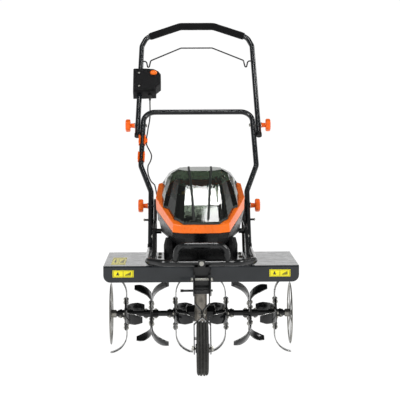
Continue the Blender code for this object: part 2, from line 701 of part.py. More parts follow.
def wheel_bracket():
    """A channel that hangs from the bumper and holds the wheel arm between its cheeks."""
    low = FENDER_TOP - BRACKET_DROP
    plate_low = FENDER_TOP + 0.0045
    top = plate_low + BRACKET_SHEET
    inside = BRACKET_HALF - BRACKET_SHEET
    web_front = BRACKET_WEB_Y - BRACKET_SHEET
    nose = 0.014
    side_view = [(BRACKET_WEB_Y, low), (BRACKET_WEB_Y, top), (BRACKET_FRONT + nose, top)]
    side_view += [(BRACKET_FRONT, top - nose), (BRACKET_FRONT, low + 0.030), (BRACKET_FRONT + 0.030, low)]
    channel = prism("X", side_view, -BRACKET_HALF, BRACKET_HALF, "wheel_bracket")
    cut(channel, block((-inside, BRACKET_FRONT - 0.01, low - 0.01), (inside, web_front, top + 0.01)))
    tab = block((-0.012, web_front, top - 0.010), (0.012, BRACKET_WEB_Y - 0.0001, BUMPER_Z + 0.012))
    rail_end = WORM_Y - COLUMN_HALF - 0.004
    rail = block((-0.024, web_front + 0.001, plate_low), (0.024, rail_end, top - 0.0001))
    join(channel, tab, rail)
    rest = math.atan2(ARM_WAY.z, ARM_WAY.y)
    steps = 8
    angles = [rest + math.radians(2 - 72 * k / steps) for k in range(steps + 1)]
    wide = PIN_RADIUS + 0.001
    slot = [arm_point(LOCK_PIN_REACH + wide, a) for a in angles]
    slot += [arm_point(LOCK_PIN_REACH, angles[-1] - wide / LOCK_PIN_REACH)]
    slot += [arm_point(LOCK_PIN_REACH - wide, a) for a in reversed(angles)]
    slot += [arm_point(LOCK_PIN_REACH, angles[0] + wide / LOCK_PIN_REACH)]
    cut(channel, prism("X", slot, -0.1, 0.1))
    cut(channel, rod("X", ARM_PIVOT, -0.1, 0.1, PIN_RADIUS + GAP, 12))
    cut(channel, rod("Y", (0, 0, BUMPER_Z), -0.3, -0.25, PIN_RADIUS + GAP, 12))
    return attach(channel, MACHINE, BLACK_PAINT)


def hex_bolt(axis, centre, head, start, end, radius, name, parent):
    """A bolt with a flanged hexagon head at one end and a nut at the other; head is +1 or -1."""
    grip_low, grip_high = min(start, end), max(start, end)
    at_head = grip_high if head > 0 else grip_low
    at_nut = grip_low if head > 0 else grip_high
    bolt = rod(axis, centre, grip_low - 0.002, grip_high + 0.002, radius, 12, name)
    flange = [(at_head, radius * 2.0), (at_head + head * 0.0015, radius * 2.0)]
    across, tall = radius * 1.7, 0.0065
    join(bolt, turned(axis, centre, flange, 14))
    join(bolt, turned(axis, centre, [(at_head + head * 0.001, across), (at_head + head * tall, across)], 6))
    join(bolt, turned(axis, centre, [(at_nut, across), (at_nut - head * tall, across)], 6))
    return attach(bolt, parent, BRIGHT_STEEL, smooth=False)


def fork_bar(side, name):
    """One of the two flat bars: apart at the pivot, together at the waist, apart round the wheel."""
    wheel_top = ARM_LENGTH - WHEEL_RADIUS
    drawn = [(0.014, BAR_AT_PIVOT), (-0.080, BAR_AT_PIVOT)]
    drawn += [(-(wheel_top - 0.034), BAR_AT_WAIST), (-(wheel_top - 0.010), BAR_AT_WAIST)]
    drawn += [(-(wheel_top + 0.010), BAR_AT_WHEEL), (-(ARM_LENGTH + 0.020), BAR_AT_WHEEL)]
    line = [(side * x, z) for z, x in drawn]
    outline_left, outline_right = [], []
    for k, (x, z) in enumerate(line):
        before = Vector(line[max(k - 1, 0)])
        after = Vector(line[min(k + 1, len(line) - 1)])
        along = (after - before).normalized()
        spread = BAR_THICK / 2 / max(0.8, abs(along.y))
        outline_left.append((x - spread, z))
        outline_right.append((x + spread, z))
    outline = outline_left + outline_right[::-1]
    bar = prism("Y", outline, -BAR_WIDTH / 2, BAR_WIDTH / 2, name)
    for z, way in ((0.014, 1), (-(ARM_LENGTH + 0.020), -1)):
        half = BAR_WIDTH / 2
        round_end = arc((0, z - way * half), half, 0, 180 * way, 8)
        round_end += [(-half - 0.002, z + way * 0.004), (half + 0.002, z + way * 0.004)]
        cut(bar, prism("X", round_end, -0.1, 0.1))
    for z, radius in ((0, PIN_RADIUS), (-LOCK_PIN_REACH, PIN_RADIUS), (-ARM_LENGTH, AXLE_RADIUS)):
        cut(bar, rod("X", (0, 0, z), -0.1, 0.1, radius + GAP, 12))
    waist = -(wheel_top - 0.022)
    cut(bar, rod("X", (0, 0, waist), -0.1, 0.1, 0.003 + GAP, 12))
    return attach(bar, ARM, BLACK_PAINT)


def lock_pin():
    """The pin that holds the arm: it rides in the arc slots of the bracket."""
    profile = [(-0.070, 0.0048), (-0.060, 0.0048), (-0.060, PIN_RADIUS)]
    profile += [(0.0335, PIN_RADIUS), (0.0350, 0.0028)]
    return attach(turned("X", (0, 0, -LOCK_PIN_REACH), profile, 12, "lock_pin"), ARM, BLACK_PAINT)


def wheel_rim():
    """The moulded rim: hub, web with five windows, and a seat for the tyre."""
    bore = AXLE_RADIUS + BORE_CLEARANCE
    hub = TYRE_WIDTH / 2 + 0.0035
    seat = 0.015
    half = [(hub, bore), (hub, 0.015), (0.004, 0.018), (0.004, 0.048), (seat, 0.052)]
    half += [(seat + 0.002, 0.0615), (seat - 0.003, 0.0575)]
    loop = half + [(-a, r) for a, r in reversed(half)]
    rim = turned("X", (0, 0, 0), loop + loop[:1], 20, "wheel_rim")
    for k in range(5):
        angle = math.radians(72 * k)
        way = (0, 0.033 * math.cos(angle), 0.033 * math.sin(angle))
        cut(rim, rod("X", way, -0.02, 0.02, 0.0105, 8))
    return attach(rim, WHEEL, BLACK_PLASTIC)


def tyre():
    """A solid tyre with three grooves round it, and a seat that the rim's hook holds."""
    half = TYRE_WIDTH / 2
    top = WHEEL_RADIUS
    groove = top - 0.004
    right = [(0.0015, groove), (0.003, top), (0.009, top), (0.0105, groove)]
    right += [(0.0125, top - 0.0015), (half, top - 0.009), (half - 0.001, 0.0625 + GAP)]
    right += [(0.0115, 0.0585 + GAP)]
    loop = right + [(-a, r) for a, r in reversed(right)]
    return attach(turned("X", (0, 0, 0), loop + loop[:1], 24, "tyre"), WHEEL, RUBBER)


# ---------------------------------------------------------------- rear depth stake
def stake_holder():
    """The sleeve behind the fender that the depth stake slides in, on a tongue bolted to the fender."""
    half_x, half_y = STAKE_SIZE[0] / 2, STAKE_SIZE[1] / 2
    wall = 0.0035
    low, high = FENDER_TOP - 0.035, FENDER_TOP + 0.040
    outer = (half_x + GAP + wall, half_y + GAP + wall)
    corners = ((-outer[0], STAKE_Y - outer[1], low), (outer[0], STAKE_Y + outer[1], high))
    sleeve = block(*corners, "stake_holder")
    tongue_low = FENDER_TOP + GAP
    tongue = block((-0.022, 0.060, tongue_low), (0.022, STAKE_Y - outer[1] + 0.001, tongue_low + 0.005))
    join(sleeve, tongue)
    inner = (half_x + GAP, half_y + GAP)
    past = 0.1
    way = ((-inner[0], STAKE_Y - inner[1], low - past), (inner[0], STAKE_Y + inner[1], high + past))
    cut(sleeve, block(*way))
    return attach(sleeve, MACHINE, BLACK_PAINT)


def depth_stake():
    """The flat stake with its row of pin holes and a small skid under it."""
    half_x, half_y = STAKE_SIZE[0] / 2, STAKE_SIZE[1] / 2
    stake = block((-half_x, -half_y, 0.002), (half_x, half_y, STAKE_TOP), "depth_stake")
    join(stake, block((-0.020, -0.016, 0), (0.020, 0.022, 0.004)))
    for k in range(5):
        cut(stake, rod("Y", (0, 0, FENDER_TOP + 0.052 + 0.016 * k - 0.050), -0.02, 0.02, 0.003, 8))
    return attach(stake, STAKE, BLACK_PAINT)


# ---------------------------------------------------------------- battery head
RIM_OUTLINE = both_sides([
    (0, -0.236), (0.062, -0.2345), (0.0945, -0.224), (0.105, -0.185), (0.127, -0.105),
    (0.1315, -0.088), (0.1515, -0.014), (0.148, 0.115), (0.105, 0.152), (0, 0.158),
])
BEZEL_TOP_OUTLINE = both_sides([
    (0, -0.2335), (0.063, -0.232), (0.0925, -0.219), (0.105, -0.178), (0.128, -0.098),
    (0.132, -0.083), (0.1535, 0.0), (0.1455, 0.118), (0.103, 0.150), (0, 0.156),
])
GLASS_OUTLINE = both_sides([
    (0, -0.229), (0.060, -0.228), (0.075, -0.2024), (0.090, -0.187), (0.112, -0.1015),
    (0.127, -0.089), (0.133, -0.0128), (0.131, 0.112), (0.090, 0.143), (0, 0.150),
])
TUB_OUTLINE = both_sides([
    (0, -0.222), (0.056, -0.221), (0.088, -0.211), (0.097, -0.175), (0.115, -0.100),
    (0.119, -0.085), (0.133, -0.020), (0.131, 0.106), (0.095, 0.140), (0, 0.146),
])
FLOOR_OUTLINE = both_sides([
    (0, -0.196), (0.048, -0.195), (0.074, -0.187), (0.082, -0.155), (0.093, -0.090),
    (0.096, -0.078), (0.104, -0.018), (0.102, 0.088), (0.074, 0.118), (0, 0.123),
])
# The cover's upper rings: half outline, then height above the head's floor at y = 0 and rise.
COVER_RINGS = (
    ([(0, -0.175), (0.056, -0.174), (0.070, -0.150), (0.083, -0.137), (0.103, -0.070),
      (0.118, -0.060), (0.1245, -0.005), (0.1215, 0.100), (0.083, 0.130), (0, 0.136)], 0.178, 0.27),
    ([(0, -0.105), (0.050, -0.104), (0.062, -0.088), (0.073, -0.078), (0.090, -0.035),
      (0.102, -0.028), (0.113, 0.010), (0.109, 0.085), (0.074, 0.112), (0, 0.117)], 0.210, 0.16),
    ([(0, -0.054), (0.048, -0.053), (0.060, -0.044), (0.070, -0.037), (0.087, -0.010),
      (0.095, -0.006), (0.098, 0.018), (0.094, 0.072), (0.064, 0.093), (0, 0.097)], 0.225, 0.12),
    ([(0, -0.026), (0.038, -0.025), (0.046, -0.019), (0.054, -0.014), (0.067, 0.003),
      (0.073, 0.006), (0.076, 0.020), (0.072, 0.060), (0.048, 0.077), (0, 0.081)], 0.239, 0.08),
)


def level(outline, z):
    return [(x, y, z) for x, y in outline]


def housing_lower():
    """The black tub round the motor: battery shelf, two feet, and a skirt down to the fender."""
    wall = HEAD_WALL
    rings = [level(FLOOR_OUTLINE, HEAD_Z), level(TUB_OUTLINE, HEAD_Z + 0.026)]
    rings += [on_slope(RIM_OUTLINE, BEZEL_SLOPE_LOW), on_slope(inset(RIM_OUTLINE, wall), BEZEL_SLOPE_LOW)]
    rings += [level(inset(TUB_OUTLINE, wall), HEAD_Z + 0.027)]
    rings += [level(inset(FLOOR_OUTLINE, wall), HEAD_Z + wall)]
    tub = loft(rings, name="housing_lower")
    shelf_z = HEAD_Z + 0.0755
    shelf = block((-0.1375, -0.060, shelf_z), (0.1375, 0.090, shelf_z + 0.0025))
    feet = []
    for side in (-1, 1):
        foot = [(FENDER_TOP + GAP, 0.018), (FENDER_TOP + 0.012, 0.024)]
        foot += [(HEAD_Z - 0.012, 0.024), (HEAD_Z + 0.012, 0.018)]
        feet.append(turned("Z", (side * 0.102, -0.075, 0), foot, 14))
        edges = sorted((side * SKIRT_HALF, side * (SKIRT_HALF - 0.006)))
        wall_low, wall_high = (edges[0], SKIRT_FRONT, FENDER_TOP + GAP), (edges[1], 0.060, HEAD_Z + 0.001)
        feet.append(block(wall_low, wall_high))
    front_low = (-SKIRT_HALF + 0.001, SKIRT_FRONT, FENDER_TOP + GAP)
    front = block(front_low, (SKIRT_HALF - 0.001, SKIRT_FRONT + 0.006, HEAD_Z + 0.001))
    rail_room = (0.0265, 0.1, FENDER_TOP + 0.0045 + BRACKET_SHEET + 0.001)
    cut(front, block((-rail_room[0], SKIRT_FRONT - rail_room[1], 0), (rail_room[0], 0, rail_room[2])))
    join(tub, shelf, front, *feet)
    cut(tub, rod("Z", (0, WORM_Y, 0), HEAD_Z - 0.01, HEAD_Z + 0.01, WORM_CORE + 0.004, 16))
    return attach(tub, MACHINE, BLACK_PLASTIC)


def orange_bezel():
    rings = [on_slope(RIM_OUTLINE, BEZEL_SLOPE_LOW, GAP), on_slope(BEZEL_TOP_OUTLINE, BEZEL_SLOPE_HIGH)]
    rings += [on_slope(inset(GLASS_OUTLINE, 0.004), BEZEL_SLOPE_HIGH)]
    rings += [on_slope(inset(RIM_OUTLINE, 0.010), BEZEL_SLOPE_LOW, GAP)]
    return attach(loft(rings, closed=True, name="orange_bezel"), MACHINE, ORANGE, smooth=False)


def battery_cover():
    """The smoked lid over the batteries; its rear edge lies on the hinge axis."""
    thick = 0.0025
    seat = 0.0006
    outer = [on_slope(GLASS_OUTLINE, BEZEL_SLOPE_HIGH, seat)]
    outer += [on_slope(inset(GLASS_OUTLINE, 0.001), BEZEL_SLOPE_HIGH, 0.009)]
    inner = [on_slope(inset(GLASS_OUTLINE, thick), BEZEL_SLOPE_HIGH, seat)]
    inner += [on_slope(inset(GLASS_OUTLINE, 0.001 + thick), BEZEL_SLOPE_HIGH, 0.009 - 0.3 * thick)]
    for half, height, rise in COVER_RINGS:
        outline = both_sides(half)
        outer.append([(x, y, HEAD_Z + height + rise * y) for x, y in outline])
        inner.append([(x, y, HEAD_Z + height - thick + rise * y) for x, y in inset(outline, 0.6 * thick)])
    shell = loft(inner[::-1] + outer, name="battery_cover")
    shell.data.transform(Matrix.Translation((0, -COVER_HINGE_Y, -COVER_HINGE_Z)))
    return attach(shell, COVER, SMOKED, smooth=False)


def battery(side, name):
    """One battery pack: body, grip cap and sliding rail."""
    low = HEAD_Z + 0.0785
    near, far = side * 0.020, side * 0.082
    x_low, x_high = min(near, far), max(near, far)
    pack = block((x_low, -0.048, low), (x_high, 0.076, low + 0.078), name)
    cap = block((x_low + 0.004, -0.040, low + 0.070), (x_high - 0.004, 0.068, low + 0.104))
    notch = block((x_low - 0.01, -0.052, low + 0.092), (x_high + 0.01, -0.022, low + 0.120))
    cut(join(pack, cap), notch)
    return attach(pack, MACHINE, BLACK_PLASTIC, smooth=False)


# ---------------------------------------------------------------- handles
def leg_x(v):
    """The lower handle's leg: its distance from the middle at a place along it."""
    if v <= LEG_BEND_START:
        return LOWER_LEG
    if v <= LEG_BEND_END:
        return LOWER_LEG + (LEG_WIDE - LOWER_LEG) * (v - LEG_BEND_START) / (LEG_BEND_END - LEG_BEND_START)
    return LEG_WIDE + (CROSSBAR_HALF - LEG_WIDE) * (v - LEG_BEND_END) / (CROSSBAR - LEG_BEND_END)


UPPER_AT_KNOB = leg_x(FOLD_KNOB) + 2 * TUBE_RADIUS + 0.0006
UPPER_SPREAD = (UPPER_AT_KNOB - UPPER_SHOULDER_HALF) / UPPER_SHOULDER


def upper_x(w):
    """The upper handle's leg: its distance from the middle at a place along it."""
    return UPPER_AT_KNOB - UPPER_SPREAD * w


def across_x(place, radius, name="cross_hole"):
    """A cutter for bolt holes through both legs."""
    return rod("X", (0, place, 0), -0.3, 0.3, radius, 10, name)


def lower_handle():
    half = [(leg_x(v), v, 0) for v in (LOWER_FOOT, LEG_BEND_START, LEG_BEND_END)]
    half += [(CROSSBAR_HALF, CROSSBAR, 0)]
    points = half + [(-x, y, z) for x, y, z in reversed(half)]
    handle = tube(rounded(points, 0.045, 3), TUBE_RADIUS, 10, name="lower_handle")
    bolt = PIN_RADIUS + BORE_CLEARANCE
    cut(handle, across_x(0, bolt), across_x(CLAMP_KNOB, bolt), across_x(FOLD_KNOB, bolt))
    return attach(handle, LOWER, GREY_PAINT)


def upper_line():
    half = [(upper_x(UPPER_STUB), UPPER_STUB, 0), (UPPER_SHOULDER_HALF, UPPER_SHOULDER, 0)]
    half += [GRIP_CORNER, (GRIP_TOP_HALF, GRIP_TOP, 0)]
    points = half + [(-x, y, z) for x, y, z in reversed(half)]
    return rounded(points, 0.040, 4)


def upper_handle():
    handle = tube(upper_line(), TUBE_RADIUS, 10, name="upper_handle")
    cut(handle, across_x(0, PIN_RADIUS + BORE_CLEARANCE))
    eye = LEVER_WIRE + 0.0006
    inner = upper_x(LEVER_PIVOT) - TUBE_RADIUS
    for side in (-1, 1):
        ends = sorted((side * (inner - 0.02), side * (inner + 0.009)))
        cut(handle, rod("X", (0, LEVER_PIVOT, 0), ends[0], ends[1], eye, 8))
    return attach(handle, UPPER, GREY_PAINT)


def foam_grip():
    """The foam sleeve on the top of the upper handle."""
    start = Vector((GRIP_TOP_HALF, GRIP_TOP, 0))
    way = Vector(GRIP_CORNER) - start
    end = start + way.normalized() * (way.length - 0.0135)
    points = [end, start, (-start.x, start.y, 0), (-end.x, end.y, 0)]
    sleeve = tube(rounded(points, 0.040, 3), GRIP_RADIUS, 10, TUBE_RADIUS + 0.0006, "foam_grip")
    return attach(sleeve, UPPER, FOAM)


def bail_lever():
    """The wire lever: both ends hook into the handle's legs, then dip and run out to the bar."""
    end = upper_x(LEVER_PIVOT) - TUBE_RADIUS + 0.006
    half = [(end, 0, 0), (end - 0.017, 0, 0), (end - 0.024, 0.006, -0.040), (0.183, 0.022, -0.004)]
    half += [(0.063, LEVER_LENGTH, 0)]
    points = half + [(-x, y, z) for x, y, z in reversed(half)]
    return attach(tube(rounded(points, 0.007, 2), LEVER_WIRE, 6, name="bail_lever"), LEVER, BLACK_PAINT)


def knob(side, place, start, parent, name, bolt_end):
    """A lobed knob on its clamping bolt, which turns on the bolt's axis."""
    lobes = 5
    points = 25
    rings = []
    stem_end = start + KNOB_STEM
    for depth, grow in ((0, -0.003), (0.003, 0), (KNOB_THICK - 0.003, 0), (KNOB_THICK, -0.003)):
        ring = []
        for k in range(points):
            angle = math.tau * k / points
            radius = KNOB_RADIUS - 0.0035 + 0.0035 * math.cos(lobes * angle) + grow
            across = (place + radius * math.cos(angle), radius * math.sin(angle))
            ring.append((side * (stem_end + depth), *across))
        rings.append(ring)
    body = loft(rings, name=name)
    stem = turned("X", (0, place, 0), [(side * start, 0.0095), (side * (stem_end + 0.002), 0.0075)], 12)
    bolt = rod("X", (0, place, 0), side * bolt_end, side * (start + 0.002), PIN_RADIUS, 10)
    washer = turned("X", (0, place, 0), [(side * bolt_end, 0.0075), (side * (bolt_end + 0.004), 0.0075)], 6)
    join(body, stem, bolt, washer)
    return attach(body, parent, ORANGE)


# ---------------------------------------------------------------- switch box and cable
def box_outline():
    low, high = BOX_BOTTOM, BOX_TOP
    outline = [(-BOX_OUTER, low), (-0.205, low), (-0.160, low + 0.002), (-0.160, low + 0.022)]
    outline += [(-BOX_INNER, low + 0.040), (-BOX_INNER, high - 0.030), (-BOX_INNER - 0.010, high - 0.014)]
    outline += [(-BOX_INNER - 0.028, high - 0.003), (-0.200, high), (-BOX_OUTER + 0.004, high)]
    outline += [(-BOX_OUTER, high - 0.004)]
    return outline


def switch_box(front, name):
    """One shell of the switch box; the two shells clamp the handle's leg between them."""
    face = BOX_FRONT if front else -BOX_REAR
    seam = GAP / 2 if front else -GAP / 2
    way = 1 if front else -1
    shell = prism("Z", box_outline(), seam, face - way * 0.005, name)
    lid = prism("Z", inset(box_outline(), 0.005), face - way * 0.0052, face)
    middle = (BOX_BOTTOM + BOX_TOP) / 2
    for vertex in lid.data.vertices:
        if abs(vertex.co.z - face) > 0.001:
            vertex.co.x = -0.192 + (vertex.co.x + 0.192) * 1.085
            vertex.co.y = middle + (vertex.co.y - middle) * 1.07
    join(shell, lid)
    room = [(-0.207, BOX_BOTTOM + 0.030), (-0.150, BOX_BOTTOM + 0.045), (-0.150, BOX_TOP - 0.032)]
    room += [(-0.168, BOX_TOP - 0.0065), (-0.207, BOX_TOP - 0.0055)]
    cut(shell, prism("Z", room, seam - way * 0.01, face - way * BOX_WALL))
    ends = [Vector((-upper_x(w), w, 0)) for w in (BOX_BOTTOM - 0.05, BOX_TOP + 0.05)]
    cut(shell, tube(ends, TUBE_RADIUS + BORE_CLEARANCE, 16))
    gland = [(BOX_BOTTOM - 0.01, 0.0055), (BOX_BOTTOM + 0.007, 0.0055)]
    cut(shell, turned("Y", (GLAND_X, 0, 0), gland, 12))
    if front:
        hole = [size + BORE_CLEARANCE for size in BUTTON_SIZE]
        cut(shell, prism("Z", ellipse(BUTTON_PLACE, hole, 20), face - 0.02, face + 0.02))
    return attach(shell, UPPER, BLACK_PLASTIC, smooth=False)


def cable_gland():
    """The strain relief under the box, with its bore for the cable."""
    top, low = BOX_BOTTOM + 0.006, BOX_BOTTOM - GLAND_LENGTH
    bore = CABLE_RADIUS + GAP
    loop = [(top, bore), (top, 0.0049), (BOX_BOTTOM - 0.001, 0.0049), (BOX_BOTTOM - 0.001, 0.0064)]
    loop += [(BOX_BOTTOM - 0.005, 0.0064), (BOX_BOTTOM - 0.006, 0.0050), (low, 0.0040), (low, bore)]
    return attach(turned("Y", (GLAND_X, 0, 0), loop + loop[:1], 12, "cable_gland"), UPPER, RUBBER)


def safety_button():
    outline = ellipse((0, 0), BUTTON_SIZE, 20)
    top = ellipse((0, 0), [size - 0.0025 for size in BUTTON_SIZE], 20)
    rings = [level(outline, -0.014), level(outline, 0.0045), level(top, 0.0065)]
    return attach(loft(rings, name="safety_button"), BUTTON, ORANGE)


def cable_clip(place, length, holds_cable, name):
    """A sprung clip round the left leg, with finger ears; the upper one also holds the cable."""
    centre_x = -leg_x(place)
    inner, outer = TUBE_RADIUS + GAP, TUBE_RADIUS + 0.0032
    gap_half = 38
    outline = arc((0, 0), outer, -90 + gap_half, 270 - gap_half, 16)
    outline += [(-0.0135, -0.0150), (-0.0115, -0.0165)]
    outline += arc((0, 0), inner, 270 - gap_half, -90 + gap_half, 16)
    outline += [(0.0115, -0.0165), (0.0135, -0.0150)]
    shape = [(centre_x + x, -z) for x, z in outline]
    clip = prism("Y", shape, place - length / 2, place + length / 2, name)
    if holds_cable:
        offset = centre_x + TUBE_RADIUS + 0.0016 + CABLE_RADIUS + 0.0012
        loop = [(-length / 4, CABLE_RADIUS + GAP), (-length / 4, CABLE_RADIUS + 0.0022)]
        loop += [(length / 4, CABLE_RADIUS + 0.0022), (length / 4, CABLE_RADIUS + GAP)]
        eye = turned("Y", (offset, place, 0), loop + loop[:1], 10)
        clear = rod("Y", (offset, place, 0), -length, length, CABLE_RADIUS + GAP, 10)
        combine(join(clip, eye), clear, "DIFFERENCE")
    slope = -(leg_x(place + 0.01) - leg_x(place - 0.01)) / 0.02
    for vertex in clip.data.vertices:
        vertex.co.x += slope * (vertex.co.y - place)
    return attach(clip, LOWER, ORANGE)


CLIP_CABLE_X = -leg_x(UPPER_CLIP) + TUBE_RADIUS + 0.0016 + CABLE_RADIUS + 0.0012


def smooth_route(points, spacing):
    """A smooth line through chosen points, with places about spacing apart."""
    points = [Vector(p) for p in points]
    ends = [points[0] * 2 - points[1], *points, points[-1] * 2 - points[-2]]
    line = []
    for a, b, c, d in zip(ends, ends[1:], ends[2:], ends[3:]):
        steps = max(1, round((c - b).length / spacing))
        for k in range(steps):
            t = k / steps
            square = (2 * a - 5 * b + 4 * c - d) * t * t
            cube = (3 * b - a - 3 * c + d) * t ** 3
            line.append((2 * b + (c - a) * t + square + cube) / 2)
    line.append(points[-1])
    return line


def cable(points, parent, name):
    """A stretch of the cable as a curve with a round bevel."""
    data = bpy.data.curves.new(name, "CURVE")
    data.dimensions = "3D"
    data.bevel_depth = CABLE_RADIUS
    data.bevel_resolution = 2
    data.use_fill_caps = True
    line = smooth_route(points, 0.015)
    spline = data.splines.new("POLY")
    spline.points.add(len(line) - 1)
    for point, place in zip(spline.points, line):
        point.co = (*place, 1)
    made = bpy.data.objects.new(name, data)
    bpy.context.scene.collection.objects.link(made)
    made.parent = parent
    data.materials.append(RUBBER)
    return made


# The cable's route: x, place along the lower handle from its peg, and height above the handle's plane.
GLAND_END = FOLD_KNOB + BOX_BOTTOM - GLAND_LENGTH
UPPER_ROUTE = [
    (GLAND_X, GLAND_END - GAP, 0), (GLAND_X, GLAND_END - 0.012, -0.002), (-0.1835, 0.508, -0.012),
    (-0.1835, CROSSBAR, -0.0185), (-0.1855, 0.455, -0.0165), (-0.190, 0.420, -0.010),
    (CLIP_CABLE_X + 0.003, 0.385, -0.002), (CLIP_CABLE_X, UPPER_CLIP + 0.010, 0),
    (CLIP_CABLE_X, UPPER_CLIP + 0.0003, 0),
]
MIDDLE_ROUTE = [
    (CLIP_CABLE_X, UPPER_CLIP - 0.0003, 0), (CLIP_CABLE_X - 0.0002, UPPER_CLIP - 0.012, 0),
    (-0.192, 0.325, 0.001), (-0.182, 0.302, 0.003), (-0.1755, 0.280, 0.004), (-0.180, 0.257, 0.002),
    (-0.1885, 0.240, -0.001), (-0.190, 0.222, -0.002),
]
LOWER_ROUTE_AT_HANDLE = [(-0.190, 0.2214, -0.002), (-0.1875, 0.200, -0.004), (-0.176, 0.172, -0.008)]
# The rest of it, in the machine's own axes, down to the housing's flank.
LOWER_ROUTE_TO_HEAD = [
    (-0.1640, 0.337, 0.5638), (-0.1560, 0.312, 0.5300), (-0.1500, 0.280, 0.4980),
    (-0.1485, 0.235, 0.4700), (-0.1475, 0.180, 0.4550), (-0.1450, 0.130, 0.4515),
    (-0.1383, 0.100, 0.4510),
]


def on_machine(point):
    """A point of the lower handle's frame in the machine's frame."""
    turn = Matrix.Rotation(HANDLE_SLOPE, 4, "X")
    return PEG + (turn @ Vector(point))


# ---------------------------------------------------------------- assembly
for mark, direction in (("left", -1), ("right", 1)):
    gearbox_case(direction, f"gearbox_case_{mark}")
    bearing(direction, f"shaft_bearing_{mark}")
    upright(direction, f"upright_{mark}")
    fork_bar(direction, f"fork_bar_{mark}")
    battery(direction, f"battery_{mark}")
    guard_disc(direction, f"guard_disc_{mark}")
    for spot, (where, phase, bends) in zip(HUB_PLACES, HUB_LAYOUTS):
        tine_hub(direction, spot, phase, f"hub_{where}_{mark}")
        blade_set(direction, spot, phase, bends, f"blades_{where}_{mark}")
    clamp_start = LOWER_LEG + TUBE_RADIUS + GAP
    clamp_inner = UPRIGHT_OUTER - UPRIGHT_WEB - 0.0046
    knob(direction, CLAMP_KNOB, clamp_start, LOWER, f"clamp_knob_{mark}", clamp_inner)
    fold_start = UPPER_AT_KNOB + TUBE_RADIUS + GAP
    fold_inner = leg_x(FOLD_KNOB) - TUBE_RADIUS - 0.0046
    knob(direction, 0, fold_start, UPPER, f"fold_knob_{mark}", fold_inner)

worm_shaft()
worm_wheel()
motor()
tine_shaft()
fender()
front_bumper()
wheel_bracket()
web_front = BRACKET_WEB_Y - BRACKET_SHEET
tube_back = BUMPER_FRONT + TUBE_RADIUS + GAP
hex_bolt("Y", (0, 0, BUMPER_Z), -1, web_front - GAP, tube_back, PIN_RADIUS, "bracket_bolt", MACHINE)
cheek = BRACKET_HALF + GAP
hex_bolt("X", ARM_PIVOT, 1, -cheek, cheek, PIN_RADIUS, "arm_pivot_bolt", MACHINE)
waist_place = (0, 0, -(ARM_LENGTH - WHEEL_RADIUS - 0.022))
waist_half = BAR_AT_WAIST + BAR_THICK / 2 + GAP
hex_bolt("X", waist_place, 1, -waist_half, waist_half, 0.003, "fork_bolt", ARM)
bar_outer = BAR_AT_WHEEL + BAR_THICK / 2 + GAP
hex_bolt("X", (0, 0, -ARM_LENGTH), 1, -bar_outer, bar_outer, AXLE_RADIUS, "wheel_axle", ARM)
lock_pin()
wheel_rim()
tyre()
stake_holder()
depth_stake()
housing_lower()
orange_bezel()
battery_cover()
lower_handle()
upper_handle()
foam_grip()
bail_lever()
switch_box(True, "switch_box_front")
switch_box(False, "switch_box_rear")
cable_gland()
safety_button()
cable_clip(UPPER_CLIP, CLIP_LENGTH, True, "cable_clip_upper")
cable_clip(LOWER_CLIP, CLIP_LENGTH, False, "cable_clip_lower")
upper_points = [(x, v - FOLD_KNOB, z) for x, v, z in UPPER_ROUTE]
cable(upper_points, UPPER, "cable_upper")
cable(MIDDLE_ROUTE, LOWER, "cable_middle")
cable([on_machine(p) for p in LOWER_ROUTE_AT_HANDLE] + LOWER_ROUTE_TO_HEAD, MACHINE, "cable_lower")

# The box of the whole machine is centred on the origin, with its underside at z = 0.
bpy.context.view_layer.update()
view = bpy.context.evaluated_depsgraph_get()
depths = []
for thing in bpy.data.objects:
    if thing.type in ("MESH", "CURVE"):
        shape = thing.evaluated_get(view)
        depths += [(thing.matrix_world @ vertex.co).y for vertex in shape.to_mesh().vertices]
        shape.to_mesh_clear()
MACHINE.location = (0, -(min(depths) + max(depths)) / 2, 0)
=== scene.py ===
"""The finish of a battery garden tiller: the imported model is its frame, and everything rides on it.

Metres, in the model's own frame: +Z up, the wheel at the front towards -Y, left is -X.
"""

import json
import math

import bmesh
import bpy
from mathutils import Matrix, Vector
from mathutils.bvhtree import BVHTree


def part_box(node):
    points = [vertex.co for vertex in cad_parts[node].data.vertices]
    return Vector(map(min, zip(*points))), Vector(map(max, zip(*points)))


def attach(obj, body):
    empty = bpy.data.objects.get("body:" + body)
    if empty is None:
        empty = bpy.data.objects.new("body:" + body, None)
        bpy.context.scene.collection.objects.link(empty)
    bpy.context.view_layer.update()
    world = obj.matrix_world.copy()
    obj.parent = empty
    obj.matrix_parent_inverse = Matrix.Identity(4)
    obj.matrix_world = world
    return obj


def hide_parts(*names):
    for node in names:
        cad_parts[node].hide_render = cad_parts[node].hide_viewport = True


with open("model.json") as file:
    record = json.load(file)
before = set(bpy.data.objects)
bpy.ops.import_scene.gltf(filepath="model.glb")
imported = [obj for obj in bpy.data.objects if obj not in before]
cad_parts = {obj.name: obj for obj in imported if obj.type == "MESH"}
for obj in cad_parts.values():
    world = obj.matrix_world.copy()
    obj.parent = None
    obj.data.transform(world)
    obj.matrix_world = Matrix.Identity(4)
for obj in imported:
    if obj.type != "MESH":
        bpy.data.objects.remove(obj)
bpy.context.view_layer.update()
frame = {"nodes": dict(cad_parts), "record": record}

# ---------------------------------------------------------------- sizes that the pieces share
TUBE = 0.010  # radius of the handle and bumper tubes
SLOPE = math.radians(52.5)  # of the handle, up from the ground
LEG = (0.1765, 0.2155, 0.2065)  # lower leg at its foot, at its widest and at the crossbar
LEG_PLACES = (-0.115, 0.123, 0.238, 0.4865)  # along the handle: foot, bend, bend, crossbar
FOLD_PLACE = 0.426
UPPER_LEG = (0.2305, 0.2180)
UPPER_PLACES = (-0.052, 0.385)
GRIP_CORNER = (0.200, 0.4285)
